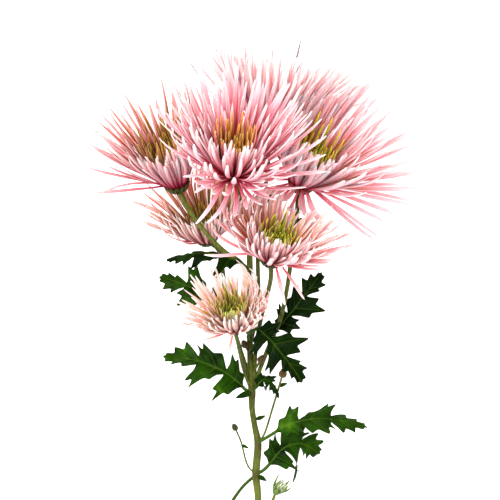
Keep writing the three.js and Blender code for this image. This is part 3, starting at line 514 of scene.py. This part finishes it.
def ray_plan(head):
    """The ray florets of a head, from the outermost to the innermost, and then the strays. Each turns
    on by the golden angle. With r from 0 at the rim to 1 at the eye, the angle from the axis runs from
    the spread at that turn to INNER_ANGLE as r^0.9, the length falls to about 0.6 of the reach as r^3,
    and each number has its own share of chance."""
    count, seed, size = head["rays"], head["seed"], head["size"]
    k = np.arange(count)
    inwards = (k + 0.5) / count
    turn = np.radians(k * GOLDEN_ANGLE + seed * 50) + 0.12 * chance(seed, k, 1)
    up, down = np.maximum(0, np.sin(turn)), np.maximum(0, -np.sin(turn))
    left, right, top, underneath = head["spread"]
    spread = mix(mix(mix(left, right, (1 + np.cos(turn)) / 2), top, up), underneath, down)
    angle = mix(spread, INNER_ANGLE, inwards**0.9) + (7 + 5 * down) * chance(seed, k, 2) * (1 - inwards * 0.5)
    length = head["reach"] * mix(1, 0.6 - 0.1 * up, inwards**3)
    length = length * (1 + (0.13 + 0.09 * down) * chance(seed, k, 3))
    trimmed = 1 - head.get("trim", 0) * np.maximum(0, np.cos(turn - TRIM_TURN)) ** 4
    length *= (1 - head.get("short", 0) * up) * trimmed
    curl = 9 * chance(seed, k, 5) * (1 - inwards) - 7
    stray = np.array(head["strays"], dtype=float).reshape(-1, 4)
    extra = len(stray)
    k = np.arange(count + extra)
    ring = np.concatenate([inwards, np.full(extra, 0.1)])
    hooked = np.concatenate([36 * up, np.zeros(extra)])
    slim = np.concatenate([1 + 0.05 * up - 0.12 * down, np.full(extra, 0.9)])
    return dict(
        free=np.repeat([0.12, 0.5], [count, extra])[:, None],
        point=np.concatenate([mix(0.42, 0.2, up), np.full(extra, 0.3)]),
        # Painted shade: the inner rays near the eye darken towards their roots; the outer rays get none.
        shade=0.65 * rise(0.1, 0.9, ring),
        pit=np.zeros(count + extra),
        turn=np.concatenate([turn, np.radians(stray[:, 0])]),
        angle=np.concatenate([angle, stray[:, 1]]),
        length=np.concatenate([length, stray[:, 2]]),
        curl=np.concatenate([curl, stray[:, 3]]),
        root_radius=mix(6.5, 5.6, ring) * size,
        root_height=mix(5.0, 6.2, ring) * size,
        hook=4 + 14 * chance(seed, k, 7) + hooked * np.abs(chance(seed, k, 13)),
        sway=9 * chance(seed, k, 8),
        twist=28 * chance(seed, k, 9),
        width=mix(3.0, 1.9, ring) * (1 + 0.2 * chance(seed, k, 10)) * slim * head["broad"],
        root_width=np.full(count + extra, 1.0) * size,
        depth=mix(0.75, 0.6, ring) * size,
        opened=0.75 + 0.25 * chance(seed, k, 11),
        inner=rise(0.0, 0.5, ring)[:, None] * (0.1 + 0.9 * SECTION_INSIDE),
        chance=chance(seed, k, 12),
    )


def heart_plan(head):
    """The florets of a head's eye, from the middle outwards: short in the middle, longest and most
    spread at the rim, so that they stand round a pit. With share s from 0 to 1 as the root of the rank,
    the length grows as s^2.6 and the angle as s^1.5, and those on top stay upright."""
    count, seed, size = head["hearts"], head["seed"], head["size"]
    k = np.arange(count)
    share = np.sqrt((k + 0.5) / count)
    turn = np.radians(k * GOLDEN_ANGLE + seed * 20)
    near = np.maximum(0, np.sin(turn))
    taller = 1 - (0.1 * np.sin(turn) + 0.14 * near) * share
    return dict(
        free=np.full((count, 1), 0.6),
        point=np.full(count, 0.24),
        # Painted shade: eye florets darken towards their roots, and the short ones in the middle, the pit,
        # all along.
        shade=mix(0.98, 0.85, share),
        pit=0.95 * (1 - rise(0.4, 0.75, share)),
        turn=turn,
        angle=24 * share**1.5 * (1 - 0.85 * near) + 3 * chance(seed, k, 21),
        length=head["eye"] * mix(0.12, 1.0, share**2.6) * (1 + 0.14 * chance(seed, k, 22)) * taller,
        curl=np.full(count, -9.0),
        root_radius=4.4 * share * size,
        root_height=np.full(count, 5.6) * size,
        hook=6 + 20 * np.abs(chance(seed, k, 23)),
        sway=7 * chance(seed, k, 24),
        twist=20 * chance(seed, k, 25),
        width=mix(1.1, 1.35, share) * (1 + 0.12 * chance(seed, k, 26)) * size,
        root_width=np.full(count, 0.8) * size,
        depth=np.full(count, 0.5) * size,
        opened=0.4 + 0.3 * chance(seed, k, 27),
        inner=np.maximum(1 - rise(0.5, 0.95, share)[:, None], SECTION_INSIDE),
        chance=chance(seed, k, 28),
    )


def floret_group(head, plan):
    """Rings and values of a plan's florets."""
    line, across = floret_lines(head, plan, FLORET_SHARES)
    values = dict(
        along=FLORET_SHARES[None, :, None],
        # Painted shade: strongest at the root and gone towards the tip, and kept all along in the eye's pit.
        shade=np.maximum(plan["shade"][:, None, None] * (1 - rise(0.0, 0.85, FLORET_SHARES))[:, None],
                         plan["pit"][:, None, None]),
        inner=plan["inner"][:, None],
        chance=0.5 + 0.5 * plan["chance"][:, None, None],
        edge=SECTION_EDGE * FLORET_SHARES[:, None],
    )
    return floret_rings(line, across, plan, FLORET_SHARES), values


# The fleshy disc that carries a head's florets, and the low cone of its eye: radius and height
RECEPTACLE = [(3.0, 3.4), (6.6, 4.0), (6.9, 5.2), (6.2, 6.4), (4.0, 7.0), (1.0, 7.2)]
EYE_CONE = [(4.2, 5.0), (4.4, 7.4), (2.4, 9.0), (0.4, 9.4)]


def ray_florets(name, head, finish):
    """The ray florets of a head on their disc."""
    disc = (turned(head, RECEPTACLE, 24), dict(inner=0.5, chance=0.3))
    return bundle(name + "_ray_florets", finish, [floret_group(head, ray_plan(head)), disc],
                  ["rays_" + name])


def eye_florets(name, head, finish):
    """The florets of a head's eye, on a low cone."""
    # The cone takes the eye's darkest root colour: painted shade at the bottom of the pit.
    cone = (turned(head, EYE_CONE, 20), dict(inner=1, chance=0.2))
    return bundle(name + "_eye_florets", finish, [floret_group(head, heart_plan(head)), cone],
                  ["eye_" + name])


# Cups, scales and buds

SCALE_LOOPS = 7


def scales(root, tip, width, thick, normal, cup):
    """Pointed scales. The width runs as sin(pi s^0.7), the blade is bowed outwards by cup times its
    length times s(1 - s), and its edges are thin."""
    shares = np.linspace(0.02, 0.985, SCALE_LOOPS)
    length = np.linalg.norm(tip - root, axis=-1, keepdims=True)
    ahead = unit(tip - root)
    normal = square_to(normal, ahead)
    across = np.cross(ahead, normal)
    bow = cup * length * 4 * (shares * (1 - shares))
    middle = root[:, None] + (tip - root)[:, None] * shares[:, None] + bow[..., None] * normal[:, None]
    half = width[:, None] / 2 * np.sin(np.pi * shares**0.7) ** 0.8 + 0.08
    section = np.array([(-1, 0), (-0.5, 0.5), (0.5, 0.5), (1, 0), (0.5, -0.5), (-0.5, -0.5)])
    belly = section[:, 1] * thick
    return (
        middle[:, :, None]
        + (section[:, 0] * half[..., None])[..., None] * across[:, None, None]
        + belly[:, None] * normal[:, None, None]
    )


CUP_PROFILE = [(1.15, -2.4), (1.9, -1.6), (4.2, 0.0), (5.6, 1.6), (6.3, 3.2), (5.6, 3.7), (2.0, 3.5)]
# Rows of scales up a cup: how many, radius and height of their roots and of their tips, and their width
CUP_ROWS = [
    (11, (3.2, -0.9), (5.9, 1.6), 2.6), (13, (4.6, 0.3), (6.9, 3.6), 2.8), (15, (5.4, 1.4), (7.3, 5.2), 2.6),
]
# A closed bud of radius 1: height and radius up its egg, and the heights of its scales' roots and tips
EGG = [(-0.9, 0.35), (-0.5, 0.75), (0.1, 1.0), (0.8, 0.98), (1.4, 0.7), (1.9, 0.25)]
BUD_ROWS = [(-0.8, 0.9), (-0.1, 2.0)]
BUD_SCALES = 8


def cup_scales(head):
    """Three rows of green scales that overlap up a head's cup, each row half a step round."""
    axis, side, front = head_frame(head)
    size = head["size"]
    groups = []
    for row, (count, low, high, wide) in enumerate(CUP_ROWS):
        k = np.arange(count)
        turn = (2 * np.pi * (k + 0.5 * row) / count + 0.1 * chance(head["seed"], k, 40 + row))[:, None]
        spoke = np.cos(turn) * side + np.sin(turn) * front
        longer = 1 + 0.12 * chance(head["seed"], k, 44 + row)[:, None]
        root = head["base"] + size * (low[0] * spoke + low[1] * axis)
        tip = root + size * longer * ((high[0] - low[0]) * spoke + (high[1] - low[1]) * axis)
        rings = scales(root, tip, np.full(count, wide * size), 0.5 * size, spoke - 0.4 * axis, 0.1)
        groups.append((rings, dict(along=np.linspace(0, 1, SCALE_LOOPS)[:, None], edge=SECTION_EDGE)))
    return groups


def closed_bud(places, radius):
    """A small round bud: scales that close over an egg at the end of a shoot."""
    tip = places[-1]
    ahead = unit(tip - places[-2])
    side = square_to(UP + 0.01, ahead)
    other = np.cross(ahead, side)
    height, girth = np.array(EGG).T
    angle = 2 * np.pi * np.arange(12) / 12
    spoke = side * np.cos(angle)[:, None] + other * np.sin(angle)[:, None]
    egg = (tip + radius * (height[:, None, None] * ahead + 0.9 * girth[:, None, None] * spoke))[None]
    groups = [(egg, dict(along=0.3))]
    for row, (low, high) in enumerate(BUD_ROWS):
        k = np.arange(BUD_SCALES)
        turn = (2 * np.pi * (k + 0.5 * row) / BUD_SCALES)[:, None]
        out = np.cos(turn) * side + np.sin(turn) * other
        root = tip + radius * (low * ahead + 0.75 * out)
        end = tip + radius * (high * ahead + mix(0.95, 0.35, row) * out)
        rings = scales(root, end, np.full(BUD_SCALES, radius * 0.85), 0.3, out, 0.16)
        groups.append((rings, dict(along=np.linspace(0, 1, SCALE_LOOPS)[:, None], edge=SECTION_EDGE)))
    return groups


# Leaves

BLADE_ROWS = 193
BLADE_STEPS = 8


def leaf_blade(plan, seed):
    """A lobed blade in rows from feet on the midrib to the cut edge, on both sides and both faces. The
    edge runs straight between the outline's points, and a running mean rounds its corners. The blade
    swells between its veins, droops as the square of the distance from the rib, and waves at its edge.
    Its lobes are uneven, by a sine that differs from leaf to leaf and from side to side."""
    row = np.linspace(0, len(LEAF_ROWS) - 1, BLADE_ROWS)
    outline = [np.interp(row, np.arange(len(LEAF_ROWS)), column) for column in LEAF_ROWS.T]
    rounded = [np.convolve(np.pad(line, 2, "edge"), LEAF_ROUNDING, "valid") for line in outline]
    foot, along, out, lobe = rounded
    out = np.maximum(out, 0.004)
    length = np.linalg.norm(np.diff(bezier(plan["rib"], np.linspace(0, 1, 40))[0], axis=0), axis=1).sum()
    t = np.linspace(0, 1, BLADE_STEPS + 1)
    vein = sum(np.exp(-(((row - r) / 0.22) ** 2)) for r in VEIN_ROWS)[:, None] * (1 - 0.5 * t)
    vein = np.maximum(vein, np.exp(-((t * out[:, None] * length / 0.55) ** 2)))
    nearest = np.min([np.abs(row - r) for r in VEIN_ROWS + NOTCH_ROWS], axis=0)
    swell = 0.9 * rise(0, 1.4, nearest)[:, None] * np.sin(np.pi * t)
    lift = np.radians(plan["fold"])
    halves = []
    for side, (near, far) in ((1, plan["lobes"][:2]), (-1, plan["lobes"][2:])):
        uneven = 1 + 0.3 * np.sin(row * 0.62 + 2.3 * seed + 2 * side) * rise(0, 5, row)
        reach = (out * uneven * mix(near, far, lobe))[:, None] * t * length
        point, ahead = bezier(plan["rib"], foot[:, None] + (along - foot)[:, None] * t)
        normal = square_to(np.broadcast_to(np.array(plan["faces"], dtype=float), ahead.shape), ahead)
        way = side * np.cross(ahead, normal)
        wave = 0.7 * np.sin(row * 0.9 + seed + side)[:, None] * t**2
        wave = wave + 0.25 * np.sin(row * 5.1 + seed)[:, None] * t**4
        height = reach * np.sin(lift) - 0.004 * reach**2 + swell + wave * rise(0, 6, reach) - 0.22 * vein
        if plan["fold"] == 0:
            height = 0.35 * (swell - 0.4 * vein + 0.6)
        halves.append((point + (reach * np.cos(lift))[..., None] * way + height[..., None] * normal, normal))
    (right, right_normal), (left, left_normal) = halves
    top = np.concatenate([left[:, ::-1], right[:, 1:]], axis=1)
    normal = np.concatenate([left_normal[:, ::-1], right_normal[:, 1:]], axis=1)
    veins = np.concatenate([vein[:, ::-1], vein[:, 1:]], axis=1)
    thick = 0.16 + 0.2 * veins
    upper = top + thick[..., None] * normal
    lower = top - thick[..., None] * normal
    rings = np.concatenate([upper, lower[:, ::-1]], axis=1)[None]
    values = dict(
        vein=np.concatenate([veins, veins[:, ::-1]], axis=1)[None],
        under=np.concatenate([np.zeros(veins.shape), np.ones(veins.shape)], axis=1)[None],
        along=(row / row[-1])[:, None],
    )
    return rings, values


def leaf(name, plan, seed, finish):
    """A leaf: its blade, and a petiole that runs on under the blade as the midrib."""
    rib = bezier(plan["rib"], np.linspace(0, 0.96, 8))[0]
    normal = unit(np.array(plan["faces"], dtype=float))
    places = np.vstack([np.array(plan["petiole"]), rib - 0.25 * normal])
    radii = np.concatenate([np.full(len(plan["petiole"]) + 1, 0.85), np.linspace(0.6, 0.2, 7)])
    stalk = (tube(places, radii, 40, 10, 3, 0.08), dict(vein=0.8, under=0.5, along=0.5))
    return bundle(name + "_blade", finish, [leaf_blade(plan, seed), stalk], [name])


# Finishes

def tint(code):
    """An sRGB hex colour as linear red, green, blue and 1."""
    parts = np.array([int(code[i:i + 2], 16) / 255 for i in (1, 3, 5)])
    linear = np.where(parts <= 0.04045, parts / 12.92, ((parts + 0.055) / 1.055) ** 2.4)
    return (*linear.tolist(), 1.0)


# The numbers of the Mix node's colour sockets
MIX_A, MIX_B, MIX_OUT = 6, 7, 2


def add(tree, kind, links=(), stops=(), **settings):
    """Adds a node with its settings, a ramp's stops, and links from sockets or plain values."""
    node = tree.nodes.new("ShaderNode" + kind)
    for key, value in settings.items():
        setattr(node, key, value)
    for key, value in dict(links).items():
        if isinstance(value, bpy.types.NodeSocket):
            tree.links.new(value, node.inputs[key])
        else:
            node.inputs[key].default_value = value
    for i, (place, code) in enumerate(stops):
        points = node.color_ramp.elements
        point = points[i] if i < 2 else points.new(place)
        point.position = place
        point.color = tint(code)
    return node


def new_finish(name):
    """A material with an empty Principled shader and its tree."""
    finish = bpy.data.materials.new(name)
    finish.use_nodes = True
    tree = finish.node_tree
    return finish, tree, tree.nodes["Principled BSDF"]


def value_of(tree, name):
    """The socket that reads one of a piece's named numbers."""
    return add(tree, "Attribute", attribute_name=name).outputs["Fac"]


def settle(tree, shader, colour, bump, constants):
    """Links a finish's colour and bump to its shader, and sets the shader's constant sockets."""
    tree.links.new(colour, shader.inputs["Base Color"])
    tree.links.new(bump.outputs["Normal"], shader.inputs["Normal"])
    for key, value in constants.items():
        shader.inputs[key].default_value = value


def petal_finish(name, rim, heart, painted_shade_colour):
    """A fresh ray floret: thin, soft and moist, so light glows through it. Where florets crowd and in an
    eye's pit it is darkened by painted shade, a mix towards the given dark shade colour by the piece's shade
    number. rim colours its outer side from root to tip and heart the inner side near the eye. Faint streaks
    run along it, about eight to a floret, and its rolled edges are paler."""
    finish, tree, shader = new_finish(name)
    along = value_of(tree, "along")
    rim_colour = add(tree, "ValToRGB", dict(Fac=along), rim).outputs["Color"]
    heart_colour = add(tree, "ValToRGB", dict(Fac=along), heart).outputs["Color"]
    colour = add(tree, "Mix", {0: value_of(tree, "inner"), MIX_A: rim_colour, MIX_B: heart_colour},
                 data_type="RGBA")
    uv = add(tree, "UVMap", uv_map="floret").outputs["UV"]
    stretched = add(tree, "Mapping", {"Vector": uv, "Scale": (9, 1.3, 1)}).outputs["Vector"]
    streak = add(tree, "TexNoise", {"Vector": stretched, "Scale": 3.0, "Detail": 3.0}).outputs["Fac"]
    pale = add(tree, "Math", {0: value_of(tree, "edge"), 1: 0.12}, operation="MULTIPLY").outputs[0]
    lit = add(tree, "Mix", {0: pale, MIX_A: colour.outputs[MIX_OUT], MIX_B: tint("#fff4f2")},
              data_type="RGBA").outputs[MIX_OUT]
    streaked = add(tree, "MapRange", {"Value": streak, "From Min": 0.35, "From Max": 0.7,
                                      "To Min": 0.9, "To Max": 1.08}).outputs["Result"]
    uneven = add(tree, "MapRange", {"Value": value_of(tree, "chance"), "To Min": 0.8, "To Max": 1.0})
    value = add(tree, "Math", {0: streaked, 1: uneven.outputs["Result"]}, operation="MULTIPLY").outputs[0]
    varied = add(tree, "HueSaturation", {"Saturation": 1.06, "Value": value, "Color": lit}).outputs["Color"]
    # Painted shade: the colour is mixed towards the dark shade colour by the piece's shade number, where
    # florets crowd and in the eye's pit.
    final = add(tree, "Mix", {0: value_of(tree, "shade"), MIX_A: varied, MIX_B: tint(painted_shade_colour)},
                data_type="RGBA").outputs[MIX_OUT]
    bump = add(tree, "Bump", {"Height": streak, "Strength": 0.35, "Distance": 0.15 * MM})
    settle(tree, shader, final, bump, {
        "Roughness": 0.5, "IOR": 1.4, "Specular IOR Level": 0.1, "Subsurface Weight": 0.75,
        "Subsurface Radius": (1.0, 0.28, 0.24), "Subsurface Scale": 2.0 * MM,
    })
    return finish


def leaf_finish(name, dark, mid, light):
    """A chrysanthemum leaf: dark green and softly waxy above, greyer below, with pale veins. The net of
    small veins between them is about 1.4 mm wide."""
    finish, tree, shader = new_finish(name)
    place = add(tree, "TexCoord").outputs["Object"]
    patch = add(tree, "TexNoise", {"Vector": place, "Scale": 90.0, "Detail": 4.0}).outputs["Fac"]
    blade = add(tree, "ValToRGB", dict(Fac=patch), [(0.3, dark), (0.6, mid), (0.85, light)])
    net = add(tree, "TexVoronoi", {"Vector": place, "Scale": 700.0},
              feature="DISTANCE_TO_EDGE").outputs["Distance"]
    mesh_line = add(tree, "MapRange", {"Value": net, "From Max": 0.12, "To Min": 0.22, "To Max": 0.0})
    netted = add(tree, "Mix", {0: mesh_line.outputs["Result"], MIX_A: blade.outputs["Color"],
                               MIX_B: tint("#1c3602")}, data_type="RGBA").outputs[MIX_OUT]
    below = add(tree, "Math", {0: value_of(tree, "under"), 1: 0.6}, operation="MULTIPLY").outputs[0]
    faced = add(tree, "Mix", {0: below, MIX_A: netted, MIX_B: tint("#44602a")},
                data_type="RGBA").outputs[MIX_OUT]
    veined = add(tree, "MapRange", {"Value": value_of(tree, "vein"), "From Min": 0.35, "From Max": 1.0,
                                    "To Max": 0.3}).outputs["Result"]
    final = add(tree, "Mix", {0: veined, MIX_A: faced, MIX_B: tint("#46640a")},
                data_type="RGBA").outputs[MIX_OUT]
    bump = add(tree, "Bump", {"Height": net, "Strength": 0.4, "Distance": 0.25 * MM})
    settle(tree, shader, final, bump, {
        "Roughness": 0.42, "IOR": 1.42, "Specular IOR Level": 0.04, "Subsurface Weight": 0.05,
        "Subsurface Scale": 1.0 * MM,
    })
    return finish


def stem_finish(name, low, high, joint, rough=0.5):
    """A green stem: firm, finely ridged and downy, paler in places, and tinged where branches leave."""
    finish, tree, shader = new_finish(name)
    place = add(tree, "TexCoord").outputs["Object"]
    stretched = add(tree, "Mapping", {"Vector": place, "Scale": (1.0, 0.12, 1.0)}).outputs["Vector"]
    fleck = add(tree, "TexNoise", {"Vector": stretched, "Scale": 900.0, "Detail": 4.0}).outputs["Fac"]
    broad = add(tree, "TexNoise", {"Vector": place, "Scale": 35.0, "Detail": 2.0}).outputs["Fac"]
    both = add(tree, "Mix", {0: 0.5, 2: fleck, 3: broad}, data_type="FLOAT").outputs[0]
    green = add(tree, "ValToRGB", dict(Fac=both), [(0.35, low), (0.65, high)]).outputs["Color"]
    edged = add(tree, "Math", {0: value_of(tree, "edge"), 1: 0.25}, operation="MULTIPLY").outputs[0]
    rimmed = add(tree, "Mix", {0: edged, MIX_A: green, MIX_B: tint("#a9b070")},
                 data_type="RGBA").outputs[MIX_OUT]
    tinged = add(tree, "Math", {0: value_of(tree, "joint"), 1: 0.7}, operation="MULTIPLY").outputs[0]
    final = add(tree, "Mix", {0: tinged, MIX_A: rimmed, MIX_B: tint(joint)},
                data_type="RGBA").outputs[MIX_OUT]
    bump = add(tree, "Bump", {"Height": fleck, "Strength": 0.5, "Distance": 0.15 * MM})
    settle(tree, shader, final, bump, {
        "Roughness": rough, "IOR": 1.42, "Specular IOR Level": 0.15, "Subsurface Weight": 0.1,
        "Subsurface Scale": 1.0 * MM,
    })
    return finish


# Colours from root to tip: a head's rays on their outer side, the same by the eye on their inner side,
# and the eye's florets on their outer and inner sides. The dark root colours are partly the florets' own
# deeper base and partly painted shade between crowded florets and in the eye's pit.
PETALS = {
    "top": (
        [(0, "#8c0424"), (0.18, "#cc4468"), (0.42, "#e698a8"), (0.75, "#efc0c8"), (1, "#f3d8d8")],
        [(0, "#4a1c04"), (0.2, "#a0501c"), (0.38, "#b04438"),
         (0.6, "#d87884"), (0.8, "#ecb0b6"), (1, "#f4cccf")],
        [(0, "#7a1424"), (0.45, "#cc5c70"), (0.82, "#dc8c88"), (1, "#e4b868")],
        [(0, "#241004"), (0.35, "#602c08"), (0.7, "#946018"), (1, "#dcac50")],
    ),
    "left": (
        [(0, "#6e0e1e"), (0.16, "#a84458"), (0.45, "#c8848c"), (0.8, "#dcabb0"), (1, "#e8ccc8")],
        [(0, "#1c1402"), (0.35, "#4a3806"), (0.6, "#745010"), (0.78, "#a87468"), (1, "#d8aca8")],
        [(0, "#5e1418"), (0.5, "#b06064"), (0.8, "#a87c48"), (1, "#b8944c")],
        [(0, "#120f02"), (0.45, "#3a2e05"), (0.8, "#66500c"), (1, "#947c20")],
    ),
    "right": (
        [(0, "#9c1838"), (0.2, "#d87a90"), (0.42, "#e8b0ba"), (0.75, "#eec4ca"), (1, "#f2d4d6")],
        [(0, "#5e5a0a"), (0.25, "#a88a14"), (0.42, "#c88c3c"), (0.58, "#e0949a"), (1, "#f2c8ca")],
        [(0, "#8e2438"), (0.5, "#e09098"), (0.8, "#e4c080"), (1, "#e4d86c")],
        [(0, "#262c04"), (0.45, "#7c8408"), (0.8, "#b4b814"), (1, "#dcd640")],
    ),
    "back": (
        [(0, "#a83450"), (0.2, "#dc7e90"), (0.42, "#ecbac0"), (0.75, "#f2d5d6"), (1, "#f5e2e0")],
        [(0, "#8a3c34"), (0.2, "#d07478"), (0.5, "#e8a4ac"), (0.8, "#f2c6ca"), (1, "#f6dcdc")],
        [(0, "#962444"), (0.5, "#dc8e98"), (0.8, "#e4b080"), (1, "#e8c070")],
        [(0, "#4a3c08"), (0.45, "#98741a"), (0.8, "#c89834"), (1, "#e8c46c")],
    ),
    "mid_left": (
        [(0, "#6e1420"), (0.2, "#b0505c"), (0.5, "#cc8c8c"), (0.8, "#e0b2ae"), (1, "#eacac2")],
        [(0, "#1c1a02"), (0.35, "#504408"), (0.58, "#80641a"), (0.76, "#b8886c"), (1, "#dcb8a8")],
        [(0, "#602024"), (0.5, "#b06c68"), (0.8, "#b48c54"), (1, "#bca050")],
        [(0, "#141502"), (0.45, "#444206"), (0.8, "#70660c"), (1, "#a08c24")],
    ),
    "mid_right": (
        [(0, "#8c1c30"), (0.2, "#cc6070"), (0.45, "#e6a0a8"), (0.8, "#efc0c4"), (1, "#f3d2d2")],
        [(0, "#2a2c04"), (0.25, "#6e6608"), (0.45, "#a07c20"),
         (0.6, "#cc9878"), (0.8, "#ecbcb4"), (1, "#f2ceca")],
        [(0, "#842434"), (0.5, "#d88a8a"), (0.8, "#d4b878"), (1, "#d8d05c")],
        [(0, "#0a0e01"), (0.5, "#3c4403"), (0.85, "#80880a"), (1, "#c4c82c")],
    ),
    "low": (
        [(0, "#9c4448"), (0.2, "#d88488"), (0.45, "#ecb6b2"), (0.75, "#f2d2cc"), (1, "#f6e2da")],
        [(0, "#303404"), (0.25, "#747408"), (0.42, "#a8a030"),
         (0.62, "#deb8a4"), (0.8, "#f0cec8"), (1, "#f4dcd8")],
        [(0, "#8c4a40"), (0.5, "#dcaa98"), (0.8, "#dcc488"), (1, "#d8d068")],
        [(0, "#080c01"), (0.5, "#384002"), (0.85, "#767e08"), (1, "#bcc030")],
    ),
}
# Leaves that get the lighter copy of the leaf finish, as painted light; the others get the darker copy, as
# painted shade.
BRIGHT_LEAVES = ("leaf_lower_left", "leaf_mid_left", "leaf_low_right", "leaf_low_front")

for name, head in HEADS.items():
    ray_outer, ray_inner, eye_outer, eye_inner = PETALS[name]
    # The last argument is the painted shade colour: the darkest root colour of the rays' outer side or of the
    # eye's inner side.
    petal = petal_finish("fresh ray floret, " + name, ray_outer, ray_inner, ray_outer[0][1])
    young = petal_finish("young eye floret, " + name, eye_outer, eye_inner, eye_inner[0][1])
    ray_florets(name, head, petal)
    eye_florets(name, head, young)

# Two copies of one leaf finish, darker and lighter: painted shade and painted light on whole leaves.
shaded_leaf = leaf_finish("chrysanthemum leaf, painted shade", "#010601", "#081c01", "#224604")
lit_leaf = leaf_finish("chrysanthemum leaf, painted light", "#041201", "#1c3c02", "#547c12")
for number, (name, plan) in enumerate(LEAVES.items()):
    leaf(name, plan, 1.7 * number, lit_leaf if name in BRIGHT_LEAVES else shaded_leaf)

# The green body: stems, the stalks of its buds, its cups and its scales

green_stem = stem_finish("fresh green stem", "#2c3204", "#5c6428", "#34260e")
cup_green = stem_finish("involucre scale", "#0e1606", "#2a3810", "#2a2414")
withered = stem_finish("withered bud", "#20160c", "#5a4020", "#8a6a2c", 0.7)

stem_groups = []
for name, places in STEMS.items():
    loops = 110 if name == "main" else 60
    rings = tube([place for place, _ in places], [radius for _, radius in places], loops, 18, 6, 0.05)
    far = [np.linalg.norm(rings - joint, axis=-1) / TINGE_REACH for joint in JOINTS]
    near = sum(np.exp(-(share**2)) for share in far)
    stem_groups.append((rings, dict(joint=near)))
for places, radius, _, _ in SHOOTS:
    stem_groups.append((tube(places, np.full(len(places), radius), 24, 8), {}))
stalk = HALF_OPEN_BUD["stalk"]
stem_groups.append((tube(stalk, np.full(len(stalk), HALF_OPEN_BUD["radius"]), 24, 10), {}))
bundle("stems", green_stem, stem_groups, ["stem"])

cup_groups = []
for head in HEADS.values():
    cup_groups.append((turned(head, CUP_PROFILE, 24), dict(along=0.3)))
    cup_groups += cup_scales(head)
bundle("involucres", cup_green, cup_groups, ["stem"])

for wilted, finish, name in ((True, withered, "withered_buds"), (False, cup_green, "closed_buds")):
    groups = [group for places, _, bud, dry in SHOOTS if dry is wilted for group in closed_bud(places, bud)]
    bundle(name, finish, groups, ["stem"])

root, tip, width, faces = (np.array(column, dtype=float) for column in zip(*SCALE_LEAVES))
blades = scales(root, tip, width, 0.5, faces, 0.05)
# The scale leaves take the lighter, painted-light copy of the leaf finish.
bundle("scale_leaves", lit_leaf, [(blades, dict(vein=0.1))], ["stem"])

# The half-open bud: a cup with long green sepals round pale petals

bud = dict(base=stalk[-1], heading=HALF_OPEN_BUD["heading"], tilt=HALF_OPEN_BUD["tilt"], size=1.0)
axis, side, front = head_frame(bud)
k = np.arange(SEPALS)
turn = (2 * np.pi * (k + 0.3) / SEPALS)[:, None]
spoke = np.cos(turn) * side + np.sin(turn) * front
root = bud["base"] + 0.6 * axis + 1.9 * spoke
tip = bud["base"] + (7.5 + 1.5 * (k[:, None] % 2)) * axis + (2.8 + 2.4 * (k[:, None] % 3) / 2) * spoke
bundle("half_open_bud_sepals", stem_finish("bud sepal", "#2c4416", "#5c7434", "#2c4416"), [
    (turned(bud, HALF_OPEN_CUP, 16), {}),
    (scales(root, tip, np.full(SEPALS, 1.5), 0.4, spoke, 0.12), dict(edge=SECTION_EDGE)),
], ["stem"])
k = np.arange(BUD_PETALS)
turn = np.radians(k * GOLDEN_ANGLE)[:, None]
spoke = np.cos(turn) * side + np.sin(turn) * front
wide = np.sqrt((k + 0.5) / BUD_PETALS)[:, None]
root = bud["base"] + 2.4 * axis + 1.3 * wide * spoke
tip = bud["base"] + (7.6 - 0.9 * wide + 0.5 * chance(9, k, 1)[:, None]) * axis + 2.6 * wide * spoke
bundle("half_open_bud_petals", stem_finish("young bud petal", "#8c9c6c", "#c8d0b0", "#8c9c6c"), [
    (scales(root, tip, np.full(BUD_PETALS, 1.3), 0.35, spoke, 0.08), {}),
], ["bud_petals"])

# Stage, lights and camera

# Half the table's side, the camera's height, the middle of the heads and the width that is shown there
TABLE_HALF = 6
CAMERA_HEIGHT = 2.56
HEADS_MIDDLE = Vector((0, 0.03, 0.06))
SHOWN_WIDTH = 0.25
SENSOR = 36

corners = [(x * TABLE_HALF, y * TABLE_HALF, 0) for x, y in ((-1, -1), (1, -1), (1, 1), (-1, 1))]
floor_mesh = bpy.data.meshes.new("table")
floor_mesh.from_pydata(corners, [], [(0, 1, 2, 3)])
# A matt white top, lit evenly from below as well, so that no shadow greys it
floor, _, floor_shader = new_finish("matt white table")
floor_shader.inputs["Base Color"].default_value = tint("#fcfcfb")
floor_shader.inputs["Roughness"].default_value = 0.9
floor_shader.inputs["Specular IOR Level"].default_value = 0.1
floor_shader.inputs["Emission Color"].default_value = tint("#ffffff")
floor_shader.inputs["Emission Strength"].default_value = 0.55
floor_mesh.materials.append(floor)
table = bpy.data.objects.new("table", floor_mesh)
bpy.context.scene.collection.objects.link(table)

scene = bpy.context.scene
scene.view_settings.view_transform = "Standard"
world = bpy.data.worlds.new("studio air")
world.use_nodes = True
world.node_tree.nodes["Background"].inputs["Color"].default_value = (1, 1, 1, 1)
world.node_tree.nodes["Background"].inputs["Strength"].default_value = 0.86
scene.world = world


def softbox(name, place, size, watts):
    """A square area light that looks at the middle of the heads."""
    data = bpy.data.lights.new(name, "AREA")
    data.size = size
    data.energy = watts
    lamp = bpy.data.objects.new(name, data)
    scene.collection.objects.link(lamp)
    lamp.location = place
    lamp.rotation_mode = "QUATERNION"
    lamp.rotation_quaternion = (HEADS_MIDDLE - lamp.location).to_track_quat("-Z", "Y")
    lamp.visible_camera = False


softbox("key softbox", (-0.5, 0.3, 1.5), 1.0, 44)
softbox("fill softbox", (0.9, -0.5, 1.2), 1.0, 6)

camera_data = bpy.data.cameras.new("camera")
camera_data.sensor_width = SENSOR
camera_data.lens = SENSOR * (CAMERA_HEIGHT - HEADS_MIDDLE.z) / SHOWN_WIDTH
camera_data.clip_end = 20
camera = bpy.data.objects.new("camera", camera_data)
scene.collection.objects.link(camera)
camera.location = (-CENTRE[0] * MM, -CENTRE[1] * MM, CAMERA_HEIGHT)
scene.camera = camera
